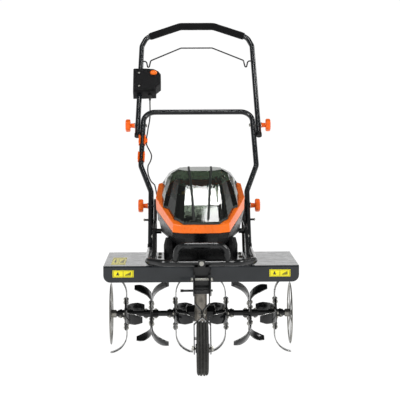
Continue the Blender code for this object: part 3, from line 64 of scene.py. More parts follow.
GRIP_TOP = (0.066, 0.486)
TINE_RADIUS = 0.138
HUBS = (("inner", 0.090, 0, (-1, -1, -1, -1)), ("middle", 0.173, 40, (1, -1, 1, -1)),
        ("outer", 0.261, 0, (1, -1, 1, -1)))
BLADE_THICK, BLADE_WIDTH, BLADE_BEND, BLADE_REACH = 0.0035, 0.038, 0.066, 0.058
COLUMN_HALF = 0.0205  # half-width of the gearbox case's middle, drawn in alloy; faces further out are drawn black
BUMPER_SKIN = 0.0114  # the bumper tube is drawn a little thicker than the frame's
BOX_FACE = 0.030  # the switch box's front, above the handle's plane
BUTTON_PLACE, BUTTON_SIZE = (-0.170, 0.228), (0.0135, 0.0105)
FENDER_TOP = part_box("fender")[1].z
BUMPER_Z = FENDER_TOP + 0.020

BODY_OF = {node: body for body, nodes in frame["record"]["behaviour"]["bodies"].items() for node in nodes}
JOINTS = {joint["name"]: joint for joint in frame["record"]["behaviour"]["joints"]}
PEG = Vector(JOINTS["lower_handle_tilt"]["pos_m"])
LEVER = Vector(JOINTS["bail_lever_pull"]["pos_m"])
SHAFT = Vector(JOINTS["tine_spin"]["pos_m"])
WHEEL = Vector(JOINTS["wheel_spin"]["pos_m"])
UP_HANDLE = Vector((0, math.cos(SLOPE), math.sin(SLOPE)))
OFF_HANDLE = Vector((0, -math.sin(SLOPE), math.cos(SLOPE)))


def on_handle(x, along, off=0.0):
    """A point of the handle's plane: distance from the middle, along it from the peg, and off it."""
    return PEG + Vector((x, 0, 0)) + UP_HANDLE * along + OFF_HANDLE * off


# ---------------------------------------------------------------- materials
class Recipe:
    """A Principled material whose nodes are added one by one."""

    def __init__(self, name, colour, roughness, metallic=0.0):
        self.material = bpy.data.materials.new(name)
        self.material.use_nodes = True
        self.nodes = self.material.node_tree.nodes
        self.links = self.material.node_tree.links
        self.shader = self.nodes["Principled BSDF"]
        self.shader.inputs["Base Color"].default_value = (*colour, 1)
        self.shader.inputs["Roughness"].default_value = roughness
        self.shader.inputs["Metallic"].default_value = metallic
        self.place = self.nodes.new("ShaderNodeTexCoord").outputs["Object"]

    def link(self, source, node, socket):
        self.links.new(source, node.inputs[socket])

    def noise(self, scale, detail=4.0, stretch=None):
        """Noise with its scale in features per metre; stretch scales the axes."""
        place = self.place
        if stretch:
            mapping = self.nodes.new("ShaderNodeMapping")
            mapping.inputs["Scale"].default_value = stretch
            self.link(place, mapping, "Vector")
            place = mapping.outputs["Vector"]
        node = self.nodes.new("ShaderNodeTexNoise")
        node.inputs["Scale"].default_value = scale
        node.inputs["Detail"].default_value = detail
        self.link(place, node, "Vector")
        return node.outputs["Fac"]

    def cells(self, scale):
        node = self.nodes.new("ShaderNodeTexVoronoi")
        node.inputs["Scale"].default_value = scale
        self.link(self.place, node, "Vector")
        return node.outputs["Distance"]

    def spread(self, value, low, high, start=0.3, end=0.7):
        """Maps a noise value to a range."""
        node = self.nodes.new("ShaderNodeMapRange")
        node.inputs["From Min"].default_value = start
        node.inputs["From Max"].default_value = end
        node.inputs["To Min"].default_value = low
        node.inputs["To Max"].default_value = high
        self.link(value, node, "Value")
        return node.outputs["Result"]

    def mix(self, factor, first, second):
        """Mixes two colours, or a made colour and a plain one."""
        node = self.nodes.new("ShaderNodeMix")
        node.data_type = "RGBA"
        self.links.new(factor, node.inputs[0])
        for socket, colour in ((6, first), (7, second)):
            if isinstance(colour, tuple):
                node.inputs[socket].default_value = (*colour, 1)
            else:
                self.links.new(colour, node.inputs[socket])
        return node.outputs[2]

    def colour(self, value):
        self.link(value, self.shader, "Base Color")

    def roughness(self, value):
        self.link(value, self.shader, "Roughness")

    def bump(self, *heights):
        """Adds bumps, each a value, its strength and its depth in metres."""
        normal = None
        for value, strength, depth in heights:
            node = self.nodes.new("ShaderNodeBump")
            node.inputs["Strength"].default_value = strength
            node.inputs["Distance"].default_value = depth
            self.link(value, node, "Height")
            if normal:
                self.link(normal, node, "Normal")
            normal = node.outputs["Normal"]
        self.link(normal, self.shader, "Normal")


def powder_coat(name, colour, roughness, chalk):
    """Powder-coated steel: a fine grain, cloudy gloss, and a little dust in places."""
    made = Recipe(name, colour, roughness)
    clouds = made.noise(9, 6)
    lighter = tuple(min(1, c * 1.25 + chalk) for c in colour)
    darker = tuple(c * 0.8 for c in colour)
    tone = made.mix(made.spread(clouds, 0, 1), darker, lighter)
    dust = made.spread(made.noise(300, 4), 0, 0.5, 0.70, 0.80)
    made.colour(made.mix(dust, tone, tuple(c * 1.5 + 0.004 for c in colour)))
    made.roughness(made.spread(made.noise(38, 5), roughness - 0.04, roughness + 0.06))
    made.bump((made.noise(650, 2), 0.03, 0.0001))
    made.shader.inputs["Specular IOR Level"].default_value = 0.30
    made.shader.inputs["Coat Weight"].default_value = 0.30
    made.shader.inputs["Coat Roughness"].default_value = 0.08
    return made.material


def plated_steel(name, colour, roughness):
    """Zinc-plated steel: spangle, fine scratches and slightly yellowed patches."""
    made = Recipe(name, colour, roughness, 1.0)
    spangle = made.spread(made.cells(260), 0, 1, 0.1, 0.7)
    warm = (colour[0], colour[1] * 0.96, colour[2] * 0.84)
    tone = made.mix(spangle, tuple(c * 0.82 for c in colour), colour)
    made.colour(made.mix(made.spread(made.noise(60), 0, 0.8), tone, warm))
    made.roughness(made.spread(made.noise(180, 5, (1, 1, 6)), roughness - 0.08, roughness + 0.12))
    made.bump((made.noise(900, 3, (1, 1, 5)), 0.12, 0.0002))
    return made.material


def cast_alloy(name):
    made = Recipe(name, (0.30, 0.28, 0.25), 0.5, 0.75)
    tone = made.mix(made.spread(made.noise(45, 6), 0, 1), (0.20, 0.185, 0.165), (0.40, 0.37, 0.32))
    stain = made.spread(made.noise(11, 5), 0, 0.7, 0.5, 0.75)
    made.colour(made.mix(stain, tone, (0.11, 0.095, 0.08)))
    made.roughness(made.spread(made.noise(200), 0.38, 0.66))
    made.bump((made.noise(1100, 4), 0.35, 0.0003), (made.noise(240, 3), 0.2, 0.0005))
    return made.material


def moulded(name, colour, roughness, grain=0.25, lift=1.25, coat=0.0, gloss=0.35):
    """Moulded plastic: spark-eroded grain, cloudy colour and uneven sheen."""
    made = Recipe(name, colour, roughness)
    flow = made.spread(made.noise(14, 5, (1, 1, 2.5)), 0, 1)
    lighter = tuple(min(1.0, c * lift + 0.002) for c in colour)
    made.colour(made.mix(flow, tuple(c * 0.9 for c in colour), lighter))
    made.roughness(made.spread(made.noise(120, 4), roughness - 0.06, roughness + 0.08))
    made.bump((made.noise(1500, 2), grain * 0.5, 0.0001))
    made.shader.inputs["Coat Weight"].default_value = coat
    made.shader.inputs["Specular IOR Level"].default_value = gloss
    return made.material


def rubber(name, colour, roughness=0.72):
    """Tyre and cable rubber: a matt skin with a dusty bloom."""
    made = Recipe(name, colour, roughness)
    bloom = made.spread(made.noise(26, 6), 0, 1, 0.42, 0.72)
    dust = made.spread(made.noise(300, 4), 0, 0.6, 0.5, 0.75)
    tone = made.mix(bloom, colour, tuple(c * 2.1 + 0.006 for c in colour))
    made.colour(made.mix(dust, tone, tuple(c * 2.8 + 0.012 for c in colour)))
    made.roughness(made.spread(made.noise(70, 4), roughness - 0.12, roughness + 0.12))
    made.bump((made.noise(800, 4), 0.4, 0.0003), (made.noise(150), 0.15, 0.0006))
    return made.material


def foam_rubber(name):
    """Closed-cell foam: small open pores in a soft matt skin, with painted shade in the pores."""
    made = Recipe(name, (0.010, 0.010, 0.011), 0.95)
    pores = made.spread(made.cells(1100), 0, 1, 0.05, 0.5)
    worn = made.spread(made.noise(20, 5), 0, 1)
    # painted shade: the pores' hollows are coloured darker than the skin around them
    made.colour(made.mix(pores, (0.002, 0.002, 0.002), (0.006, 0.006, 0.0065)))
    made.roughness(made.spread(worn, 0.82, 1.0, 0, 1))
    made.bump((pores, 0.6, 0.0006), (made.noise(160, 3), 0.3, 0.001))
    made.shader.inputs["Specular IOR Level"].default_value = 0.15
    made.shader.inputs["Sheen Weight"].default_value = 0.04
    made.shader.inputs["Sheen Roughness"].default_value = 0.4
    return made.material


def smoked(name, colour, clear, roughness):
    """Smoked polycarbonate: see-through, polished, with fine hairlines in the gloss."""
    made = Recipe(name, colour, 0.03)
    made.shader.inputs["Transmission Weight"].default_value = clear
    made.shader.inputs["IOR"].default_value = 1.50
    made.roughness(made.spread(made.noise(70, 5), roughness, roughness * 1.2 + 0.04))
    made.bump((made.noise(35, 3), 0.03, 0.001), (made.noise(500, 2, (1, 1, 8)), 0.015, 0.0003))
    return made.material


def worn_blade(name):
    """A blade's edge, scoured by soil to grey steel with some paint left in it."""
    made = Recipe(name, (0.30, 0.30, 0.29), 0.38, 0.9)
    left_on = made.spread(made.noise(120, 6), 0, 1, 0.5, 0.62)
    made.colour(made.mix(left_on, (0.34, 0.34, 0.33), (0.03, 0.03, 0.03)))
    made.roughness(made.spread(made.noise(300, 4), 0.25, 0.5))
    made.bump((made.noise(500, 5, (6, 1, 1)), 0.3, 0.0004))
    return made.material


BLACK = powder_coat("black_powder_coat", (0.0035, 0.004, 0.0045), 0.22, 0.001)
CHARCOAL = powder_coat("charcoal_powder_coat", (0.007, 0.0085, 0.010), 0.20, 0.001)
FENDER_COAT = powder_coat("fender_powder_coat", (0.015, 0.018, 0.021), 0.20, 0.002)
ZINC = plated_steel("zinc_plate", (0.46, 0.46, 0.44), 0.30)
DISC_STEEL = plated_steel("disc_steel", (0.30, 0.30, 0.29), 0.34)
ALLOY = cast_alloy("cast_alloy")
ORANGE = moulded("orange_plastic", (0.96, 0.165, 0.002), 0.30, 0.12, 1.05, 0.15)
ORANGE_GRIP = moulded("orange_knob_plastic", (0.92, 0.135, 0.002), 0.40, 0.25, 1.06)
BLACK_PLASTIC = moulded("black_plastic", (0.0026, 0.0026, 0.0030), 0.26, 0.18, 1.4, 0.06, 0.16)
BOX_PLASTIC = moulded("switch_box_plastic", (0.003, 0.003, 0.0035), 0.46, 0.4, 1.4, 0.0, 0.15)
PACK_PLASTIC = moulded("pack_plastic", (0.006, 0.006, 0.007), 0.42, 0.3, 1.4)
TYRE_RUBBER = rubber("tyre_rubber", (0.012, 0.0118, 0.010), 0.74)
CABLE_RUBBER = rubber("cable_rubber", (0.009, 0.009, 0.009), 0.55)
FOAM = foam_rubber("grip_foam")
SMOKED = smoked("smoked_plastic", (0.20, 0.25, 0.19), 1.0, 0.01)
SMOKED_RIB = smoked("smoked_rib", (0.020, 0.026, 0.020), 0.6, 0.45)
EDGE_STEEL = worn_blade("worn_edge")
BRONZE = plated_steel("bronze", (0.55, 0.34, 0.14), 0.38)
LABEL = moulded("label_yellow", (0.95, 0.84, 0.012), 0.30, 0.02, 1.02, 0.1)
LABEL_INK = moulded("label_ink", (0.02, 0.02, 0.02), 0.35, 0.02, 1.2)
PALE_PLASTIC = moulded("pale_plastic", (0.40, 0.45, 0.38), 0.4, 0.1, 1.1)
AMBER_PLASTIC = moulded("amber_plastic", (0.80, 0.38, 0.02), 0.35, 0.1, 1.1)
RED_PLASTIC = moulded("red_plastic", (0.55, 0.03, 0.01), 0.35, 0.1, 1.1)


# ---------------------------------------------------------------- modelling helpers
def piece(name, bm, body, *materials, stands_for=(), angle=40, bevel=0.0, steps=2):
    """Makes an object that rides on a body, from a bmesh."""
    bmesh.ops.recalc_face_normals(bm, faces=bm.faces)
    mesh = bpy.data.meshes.new(name)
    bm.to_mesh(mesh)
    bm.free()
    made = bpy.data.objects.new(name, mesh)
    bpy.context.scene.collection.objects.link(made)
    for material in materials:
        mesh.materials.append(material)
    if bevel:
        soften(made, bevel, steps)
    mesh.shade_smooth()
    mesh.set_sharp_from_angle(angle=math.radians(angle))
    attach(made, body)
    if stands_for:
        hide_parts(*stands_for)
    return made


def soften(made, width, steps, limit=28):
    """Rounds an object's edges, so that they catch the light."""
    rounding = made.modifiers.new("soft_edges", "BEVEL")
    rounding.width = width
    rounding.segments = steps
    rounding.limit_method = "ANGLE"
    rounding.angle_limit = math.radians(limit)
    rounding.harden_normals = False
    rounding.miter_outer = "MITER_ARC"
    view = bpy.context.evaluated_depsgraph_get()
    mesh = bpy.data.meshes.new_from_object(made.evaluated_get(view))
    made.modifiers.clear()
    made.data = mesh


def cad_mesh(node):
    """A copy of a CAD node's mesh with its faces joined up."""
    bm = bmesh.new()
    source = frame["nodes"][node]
    bm.from_mesh(source.data)
    bm.transform(source.matrix_world)
    bmesh.ops.remove_doubles(bm, verts=bm.verts, dist=2e-6)
    bmesh.ops.dissolve_limit(bm, angle_limit=math.radians(0.6), verts=bm.verts, edges=bm.edges)
    return bm


def dressed(node, material, bevel=0.0006, steps=2, angle=35):
    """A CAD node's shape with softened edges, which stands for it."""
    bm = cad_mesh(node)
    return piece(f"{node}_finish", bm, BODY_OF[node], material, stands_for=(node,), angle=angle,
                 bevel=bevel, steps=steps)


def rounded(points, radius, steps=10):
    """A line through points, with its inner corners rounded."""
    points = [Vector(p) for p in points]
    line = [points[0]]
    for before, corner, after in zip(points, points[1:], points[2:]):
        back = (before - corner).normalized()
        on = (after - corner).normalized()
        half = back.angle(on) / 2
        room = 0.48 * min((before - corner).length, (after - corner).length)
        reach = min(radius / math.tan(half), room)
        bend = reach * math.tan(half)
        centre = corner + (back + on).normalized() * (bend / math.sin(half))
        first = (corner + back * reach - centre).normalized()
        last = (corner + on * reach - centre).normalized()
        for k in range(steps + 1):
            line.append(centre + first.slerp(last, k / steps) * bend)
    line.append(points[-1])
    return line


def skin(bm, rings, closed=False, caps=True, material=0):
    """Faces between rings of equally many vertices."""
    pairs = list(zip(rings, rings[1:]))
    if closed:
        pairs.append((rings[-1], rings[0]))
    for first, second in pairs:
        for k in range(len(first)):
            after = (k + 1) % len(first)
            face = bm.faces.new((first[k], first[after], second[after], second[k]))
            face.material_index = material
    if caps and not closed:
        for end in (rings[0], rings[-1]):
            bm.faces.new(end).material_index = material


def add_tube(bm, line, sizes, sides=20, flatten=1.0):
    """Adds a tube along a line; sizes is one radius, or one for each point."""
    if not isinstance(sizes, (list, tuple)):
        sizes = [sizes] * len(line)
    line = [Vector(p) for p in line]
    ways = [(b - a).normalized() for a, b in zip(line, line[1:])]
    across = ways[0].orthogonal().normalized()
    rings = []
    for k, (place, size) in enumerate(zip(line, sizes)):
        way = (ways[max(k - 1, 0)] + ways[min(k, len(ways) - 1)]).normalized()
        across = (across - way * across.dot(way)).normalized()
        other = way.cross(across)
        ring = []
        for j in range(sides):
            angle = math.tau * j / sides
            ring.append(bm.verts.new(place + across * math.cos(angle) * size
                                     + other * math.sin(angle) * size * flatten))
        rings.append(ring)
    skin(bm, rings)


def add_lathe(bm, axis, centre, profile, sides=32, closed=False, caps=True, wave=None, material=0):
    """Adds a solid of revolution about X, Y or Z; wave changes the radius with the angle."""
    rings = []
    for along, radius in profile:
        ring = []
        for j in range(sides):
            angle = math.tau * j / sides
            size = radius * (wave(angle, along, radius) if wave else 1)
            a, b = size * math.cos(angle), size * math.sin(angle)
            place = {"X": (along, a, b), "Y": (b, along, a), "Z": (a, b, along)}[axis]
            ring.append(bm.verts.new(Vector(centre) + Vector(place)))
        rings.append(ring)
    skin(bm, rings, closed, caps, material)


def add_box(bm, low, high, turn=None):
    size = Vector(high) - Vector(low)
    middle = (Vector(high) + Vector(low)) / 2
    move = Matrix.Translation(middle) @ (turn or Matrix()) @ Matrix.Diagonal((*size, 1))
    bmesh.ops.create_cube(bm, size=1, matrix=move)


def add_prism(bm, outline, start, way, material=0):
    """Pushes a closed outline of points along a vector."""
    rings = [[bm.verts.new(Vector(p) + start + way * k) for p in outline] for k in (0, 1)]
    skin(bm, rings, material=material)


def add_bolt(bm, centre, way, size, head=0.62, washer=True):
    """Adds a flanged hexagon bolt head that stands up along a direction."""
    turn = Vector((0, 0, 1)).rotation_difference(Vector(way)).to_matrix().to_4x4()
    move = Matrix.Translation(Vector(centre)) @ turn
    if washer:
        profile = [(0, size * 1.05), (size * 0.10, size * 1.08), (size * 0.18, size * 0.98)]
        first = len(bm.verts)
        add_lathe(bm, "Z", (0, 0, 0), profile, 24)
        bm.verts.ensure_lookup_table()
        bmesh.ops.transform(bm, matrix=move, verts=bm.verts[first:])
    first = len(bm.verts)
    top = size * head
    profile = [(size * 0.05, size * 0.80), (top * 0.88, size * 0.80), (top, size * 0.70)]
    add_lathe(bm, "Z", (0, 0, 0), profile, 6)
    profile = [(top * 0.98, size * 0.42), (top * 1.18, size * 0.40), (top * 1.22, size * 0.34)]
    add_lathe(bm, "Z", (0, 0, 0), profile, 14)
    bm.verts.ensure_lookup_table()
    bmesh.ops.transform(bm, matrix=move, verts=bm.verts[first:])


def bolts(name, body, places, material=ZINC, stands_for=()):
    """A set of bolts, each a centre, a direction and a size."""
    bm = bmesh.new()
    for centre, way, size in places:
        add_bolt(bm, centre, way, size)
    return piece(name, bm, body, material, stands_for=stands_for, angle=30)


# ---------------------------------------------------------------- handles, grip and lever
def leg_x(along):
    """The lower leg's distance from the middle, at a place along it."""
    bend, wide, bar = LEG_PLACES[1:]
    if along <= bend:
        return LEG[0]
    if along <= wide:
        return LEG[0] + (LEG[1] - LEG[0]) * (along - bend) / (wide - bend)
    return LEG[1] + (LEG[2] - LEG[1]) * (along - wide) / (bar - wide)


def mirrored(half):
    """A line's other half, by its mirror image in the middle plane."""
    return list(half) + [(-x, *rest) for x, *rest in reversed(half)]


def handle_line(half, radius, offset=0.0):
    points = [on_handle(x, along + offset) for x, along in mirrored(half)]
    return rounded(points, radius, 14)


def lower_handle():
    half = [(leg_x(place), place) for place in LEG_PLACES]
    line = handle_line(half, 0.045)
    bm = bmesh.new()
    add_tube(bm, line, TUBE, 28)
    made = piece("lower_handle_finish", bm, "lower_handle", CHARCOAL, stands_for=("lower_handle",))
    bm = bmesh.new()
    for side in (-1, 1):
        foot = on_handle(side * LEG[0], LEG_PLACES[0])
        add_tube(bm, [foot - UP_HANDLE * 0.0015, foot + UP_HANDLE * 0.012], TUBE + 0.0012, 24)
    piece("lower_handle_end_caps", bm, "lower_handle", BLACK_PLASTIC, bevel=0.0008)
    return made


def upper_handle():
    half = [(UPPER_LEG[0], UPPER_PLACES[0]), (UPPER_LEG[1], UPPER_PLACES[1]), GRIP_CORNER, GRIP_TOP]
    line = handle_line(half, 0.040, FOLD_PLACE)
    bm = bmesh.new()
    add_tube(bm, line, TUBE, 28)
    piece("upper_handle_finish", bm, "upper_handle", CHARCOAL, stands_for=("upper_handle",))
    bm = bmesh.new()
    for side in (-1, 1):
        foot = on_handle(side * UPPER_LEG[0], FOLD_PLACE + UPPER_PLACES[0])
        add_tube(bm, [foot - UP_HANDLE * 0.0015, foot + UP_HANDLE * 0.012], TUBE + 0.0012, 24)
    piece("upper_handle_end_caps", bm, "upper_handle", BLACK_PLASTIC, bevel=0.0008)


def foam_grip():
    """The foam sleeve, a little fuller between its ends and pinched where it stops."""
    start = Vector((*GRIP_TOP, 0))
    way = Vector((*GRIP_CORNER, 0)) - start
    end = start + way.normalized() * (way.length - 0.0135)
    half = [(end.x, end.y), GRIP_TOP]
    line = handle_line(half, 0.040, FOLD_PLACE)
    fine = [line[0]]
    for before, after in zip(line, line[1:]):
        steps = max(1, round((after - before).length / 0.004))
        fine += [before.lerp(after, k / steps) for k in range(1, steps + 1)]
    sizes = []
    for k in range(len(fine)):
        from_end = min(k, len(fine) - 1 - k)
        pinch = (0.0016, 0.0006, 0.0001)[from_end] if from_end < 3 else 0
        ripple = 0.00012 * math.sin(k * 1.7) + 0.00010 * math.sin(k * 0.41)
        sizes.append(0.0145 - pinch + ripple)
    bm = bmesh.new()
    add_tube(bm, fine, sizes, 28)
    made = piece("foam_grip_sleeve", bm, "upper_handle", FOAM, stands_for=("foam_grip",),
                 bevel=0.0010, angle=60)


def bail_lever():
    """The wire lever, hooked into both legs, with a dip beside each hook."""
    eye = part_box("bail_lever")[1].x
    length = 0.184
    tilt = SLOPE - math.radians(34.5)
    out = Vector((0, math.cos(tilt), math.sin(tilt)))
    up = Vector((0, -math.sin(tilt), math.cos(tilt)))
    half = [(eye, 0, 0), (eye - 0.017, 0, 0), (eye - 0.024, 0.006, -0.040), (0.183, 0.022, -0.004)]
    half += [(0.063, length, 0)]
    points = [LEVER + Vector((x, 0, 0)) + out * a + up * b for x, a, b in mirrored(half)]
    bm = bmesh.new()
    add_tube(bm, rounded(points, 0.009, 6), 0.0028, 14)
    piece("bail_lever_wire", bm, "bail_lever", BLACK, stands_for=("bail_lever",), bevel=0.0005)


def knob(node, side):
    """A five-lobed knob: rounded lobes, a dished face with a cap, a fluted stem, bolt and washer."""
    low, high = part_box(node)
    centre = Vector((0, (low.y + high.y) / 2, (low.z + high.z) / 2))
    far = max(abs(low.x), abs(high.x))
    near = min(abs(low.x), abs(high.x))
    lobes = 5

    def lobed(angle, _along, radius):
        return 1 + 0.075 * math.cos(lobes * angle) * min(1.0, radius / 0.02)

    def fluted(angle, _along, _radius):
        return 1 + 0.045 * abs(math.cos(6 * angle))

    body = [(0, 0.0085), (0.0005, 0.0195), (0.0018, 0.0217), (0.0045, 0.0230), (0.0140, 0.0230)]
    body += [(0.0172, 0.0217), (0.0186, 0.0195), (0.0190, 0.0165), (0.0182, 0.0125), (0.0175, 0.0118)]
    body += [(0.0175, 0.0)]
    body = [(side * (far - 0.019 + a), max(r, 0.0002)) for a, r in body]
    bm = bmesh.new()
    add_lathe(bm, "X", centre, body, 60, wave=lobed)
    stem = [(0, 0.0098), (0.002, 0.0098), (0.003, 0.0088), (0.0165, 0.0078), (0.0195, 0.0082)]
    stem = [(side * (far - 0.036 + a), r) for a, r in stem]
    add_lathe(bm, "X", centre, stem, 48, wave=fluted)
    cap = [(0.0170, 0.0088), (0.0184, 0.0084), (0.0188, 0.0070), (0.0188, 0.0002)]
    add_lathe(bm, "X", centre, [(side * (far - 0.019 + a), r) for a, r in cap], 28)
    piece(f"{node}_body", bm, node, ORANGE_GRIP, stands_for=(node,), angle=32)
    bm = bmesh.new()
    inner = far - 0.036
    add_lathe(bm, "X", centre, [(side * near, 0.004), (side * inner, 0.004)], 16)
    add_lathe(bm, "X", centre, [(side * near, 0.0071), (side * (near + 0.0035), 0.0073)], 6)
    add_lathe(bm, "X", centre, [(side * (inner - 0.0002), 0.0112), (side * (inner + 0.0013), 0.0110)], 24)
    piece(f"{node}_bolt", bm, node, ZINC, angle=30)


# ---------------------------------------------------------------- front wheel
def wheel():
    """A ribbed solid tyre with sipes across its shoulders, on a five-window moulded rim."""
    half, top = 0.019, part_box("tyre")[1].z / 2
    grooves = [(0.0, 0.0040), (0.0012, 0.0040), (0.0020, 0.0004), (0.0080, 0.0002), (0.0088, 0.0036)]
    grooves += [(0.0102, 0.0036), (0.0110, 0.0008), (0.0150, 0.0022), (0.0176, 0.0056), (half, 0.0110)]
    grooves += [(0.0192, 0.0150), (0.0186, 0.0210), (0.0172, 0.0250), (0.0120, 0.0285)]
    side = [(x, top - drop) for x, drop in grooves]
    loop = side + [(-x, r) for x, r in reversed(side[1:])]
    count = 200

    def sipes(angle, along, radius):
        place = (angle / math.tau * 50) % 1
        at_shoulder = radius > top - 0.007 and abs(along) > 0.0105
        at_rib = radius > top - 0.001 and abs(along) < 0.0085
        if place < 0.25 and at_shoulder:
            return 1 - 0.0018 / top
        if place < 0.25 and at_rib:
            return 1 - 0.0005 / top
        return 1

    bm = bmesh.new()
    add_lathe(bm, "X", WHEEL, loop, count, closed=True, wave=sipes)
    piece("tyre_tread", bm, "wheel", TYRE_RUBBER, stands_for=("tyre",), angle=45)
    bore = 0.0056
    half_rim = [(0.0225, bore), (0.0225, 0.0135), (0.0215, 0.0150), (0.0050, 0.0178), (0.0040, 0.0195)]
    half_rim += [(0.0040, 0.0465), (0.0050, 0.0485), (0.0145, 0.0515), (0.0172, 0.0560), (0.0172, 0.0612)]
    half_rim += [(0.0160, 0.0618), (0.0125, 0.0578)]
    loop = half_rim + [(-x, r) for x, r in reversed(half_rim)]
    bm = bmesh.new()
    add_lathe(bm, "X", WHEEL, loop, 80, closed=True)
    rim = piece("wheel_rim_finish", bm, "wheel", BLACK_PLASTIC, stands_for=("wheel_rim",), angle=35)
    cutter = bmesh.new()
    for k in range(5):
        way = math.tau * k / 5
        outline = []
        for j in range(20):
            turn = math.tau * j / 20
            reach = 0.033 + 0.0095 * math.cos(turn)
            aside = way + 0.36 * math.sin(turn)
            outline.append((0, reach * math.cos(aside), reach * math.sin(aside)))
        add_prism(cutter, outline, WHEEL - Vector((0.02, 0, 0)), Vector((0.04, 0, 0)))
    carve(rim, cutter)
    soften(rim, 0.0007, 2, 40)
    rim.data.shade_smooth()
    rim.data.set_sharp_from_angle(angle=math.radians(35))


def carve(made, cutter):
    """Cuts a bmesh out of an object."""
    mesh = bpy.data.meshes.new("cutter")
    bmesh.ops.recalc_face_normals(cutter, faces=cutter.faces)
    cutter.to_mesh(mesh)
    cutter.free()
    tool = bpy.data.objects.new("cutter", mesh)
    bpy.context.scene.collection.objects.link(tool)
    change = made.modifiers.new("carve", "BOOLEAN")
    change.operation = "DIFFERENCE"
    change.solver = "EXACT"
    change.object = tool
    view = bpy.context.evaluated_depsgraph_get()
    result = bpy.data.meshes.new_from_object(made.evaluated_get(view))
    made.modifiers.clear()
    made.data = result
    bpy.data.objects.remove(tool, do_unlink=True)


def wheel_mount():
    """Bracket, fork, lock pin with its ring clip, and the bolts that hold them."""
    dressed("wheel_bracket", BLACK, 0.0009, 3)
    dressed("fork_bar_left", BLACK, 0.0007)
    dressed("fork_bar_right", BLACK, 0.0007)
    dressed("lock_pin", BLACK, 0.0005)
    for node in ("arm_pivot_bolt", "wheel_axle", "fork_bolt", "bracket_bolt"):
        dressed(node, ZINC, 0.0004)
    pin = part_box("lock_pin")
    middle_y, middle_z = (pin[0].y + pin[1].y) / 2, (pin[0].z + pin[1].z) / 2
    bm = bmesh.new()
    ring = []
    for k in range(26):
        turn = math.tau * (k / 25) * 0.92 + 0.5
        place = (pin[1].x - 0.004 + 0.0006 * k / 25, middle_y + 0.0085 * math.cos(turn))
        ring.append((*place, middle_z - 0.0075 + 0.0085 * math.sin(turn)))
    add_tube(bm, ring, 0.0009, 8)
    piece("lock_pin_ring_clip", bm, "wheel_arm", ZINC)
    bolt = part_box("arm_pivot_bolt")
    y, z = (bolt[0].y + bolt[1].y) / 2, (bolt[0].z + bolt[1].z) / 2
    bm = bmesh.new()
    x = bolt[0].x + 0.0012
    clip = [(x, y - 0.013, z + 0.006), (x, y - 0.002, z + 0.0065), (x, y + 0.008, z + 0.0045)]
    clip += [(x, y + 0.012, z), (x, y + 0.008, z - 0.0045), (x, y - 0.001, z - 0.0035)]
    clip += [(x, y - 0.006, z - 0.007), (x, y - 0.013, z - 0.0055)]
    add_tube(bm, rounded(clip, 0.004, 4), 0.0009, 8)
    piece("pivot_hairpin_clip", bm, "chassis", ZINC)


# ---------------------------------------------------------------- tines
def blade(bm, root_x, phase, bend_side):
    """Adds one slasher blade: a flat shank that bends to one side, with ground, rounded edges."""
    straight = TINE_RADIUS - BLADE_THICK / 2 - BLADE_BEND
    sweep = math.acos(1 - BLADE_REACH / BLADE_BEND)
    stations = [(0.020, 0, 0, 0.80), (0.030, 0, 0, 0.92), (0.055, 0, 0, 1.0), (straight, 0, 0, 1.0)]
    for k in range(1, 15):
        turn = sweep * k / 14
        share = k / 14
        width = 1 - 0.05 * share - 0.40 * max(0.0, share - 0.72) ** 1.3 / 0.19
        reach, sag = straight + BLADE_BEND * math.sin(turn), BLADE_BEND * (1 - math.cos(turn))
        stations.append((reach, sag, turn, width))
    angle = math.radians(phase)
    out = Vector((0, -math.sin(angle), math.cos(angle)))
    across = Vector((0, -out.z, out.y))
    rings = []
    for radius, aside, turn, width in stations:
        normal = Vector((bend_side * math.cos(turn), 0, 0)) - out * math.sin(turn)
        centre = SHAFT + out * radius + Vector((root_x + bend_side * aside, 0, 0))
        wide, thick = across * BLADE_WIDTH / 2 * max(0.35, width), normal * BLADE_THICK / 2
        ground = 0.90 if turn > 0.15 else 0.97
        corners = (-wide - thick * 0.35, -wide * ground - thick, wide * ground - thick, wide - thick * 0.35)
        corners += (wide + thick * 0.35, wide * ground + thick, thick - wide * ground, thick * 0.35 - wide)
        rings.append([bm.verts.new(centre + corner) for corner in corners])
    for first, second in zip(rings, rings[1:]):
        for k in range(8):
            after = (k + 1) % 8
            face = bm.faces.new((first[k], first[after], second[after], second[k]))
            face.material_index = 0 if k in (1, 5) else 1
    bm.faces.new(rings[0]).material_index = 1
    bm.faces.new(rings[-1]).material_index = 1


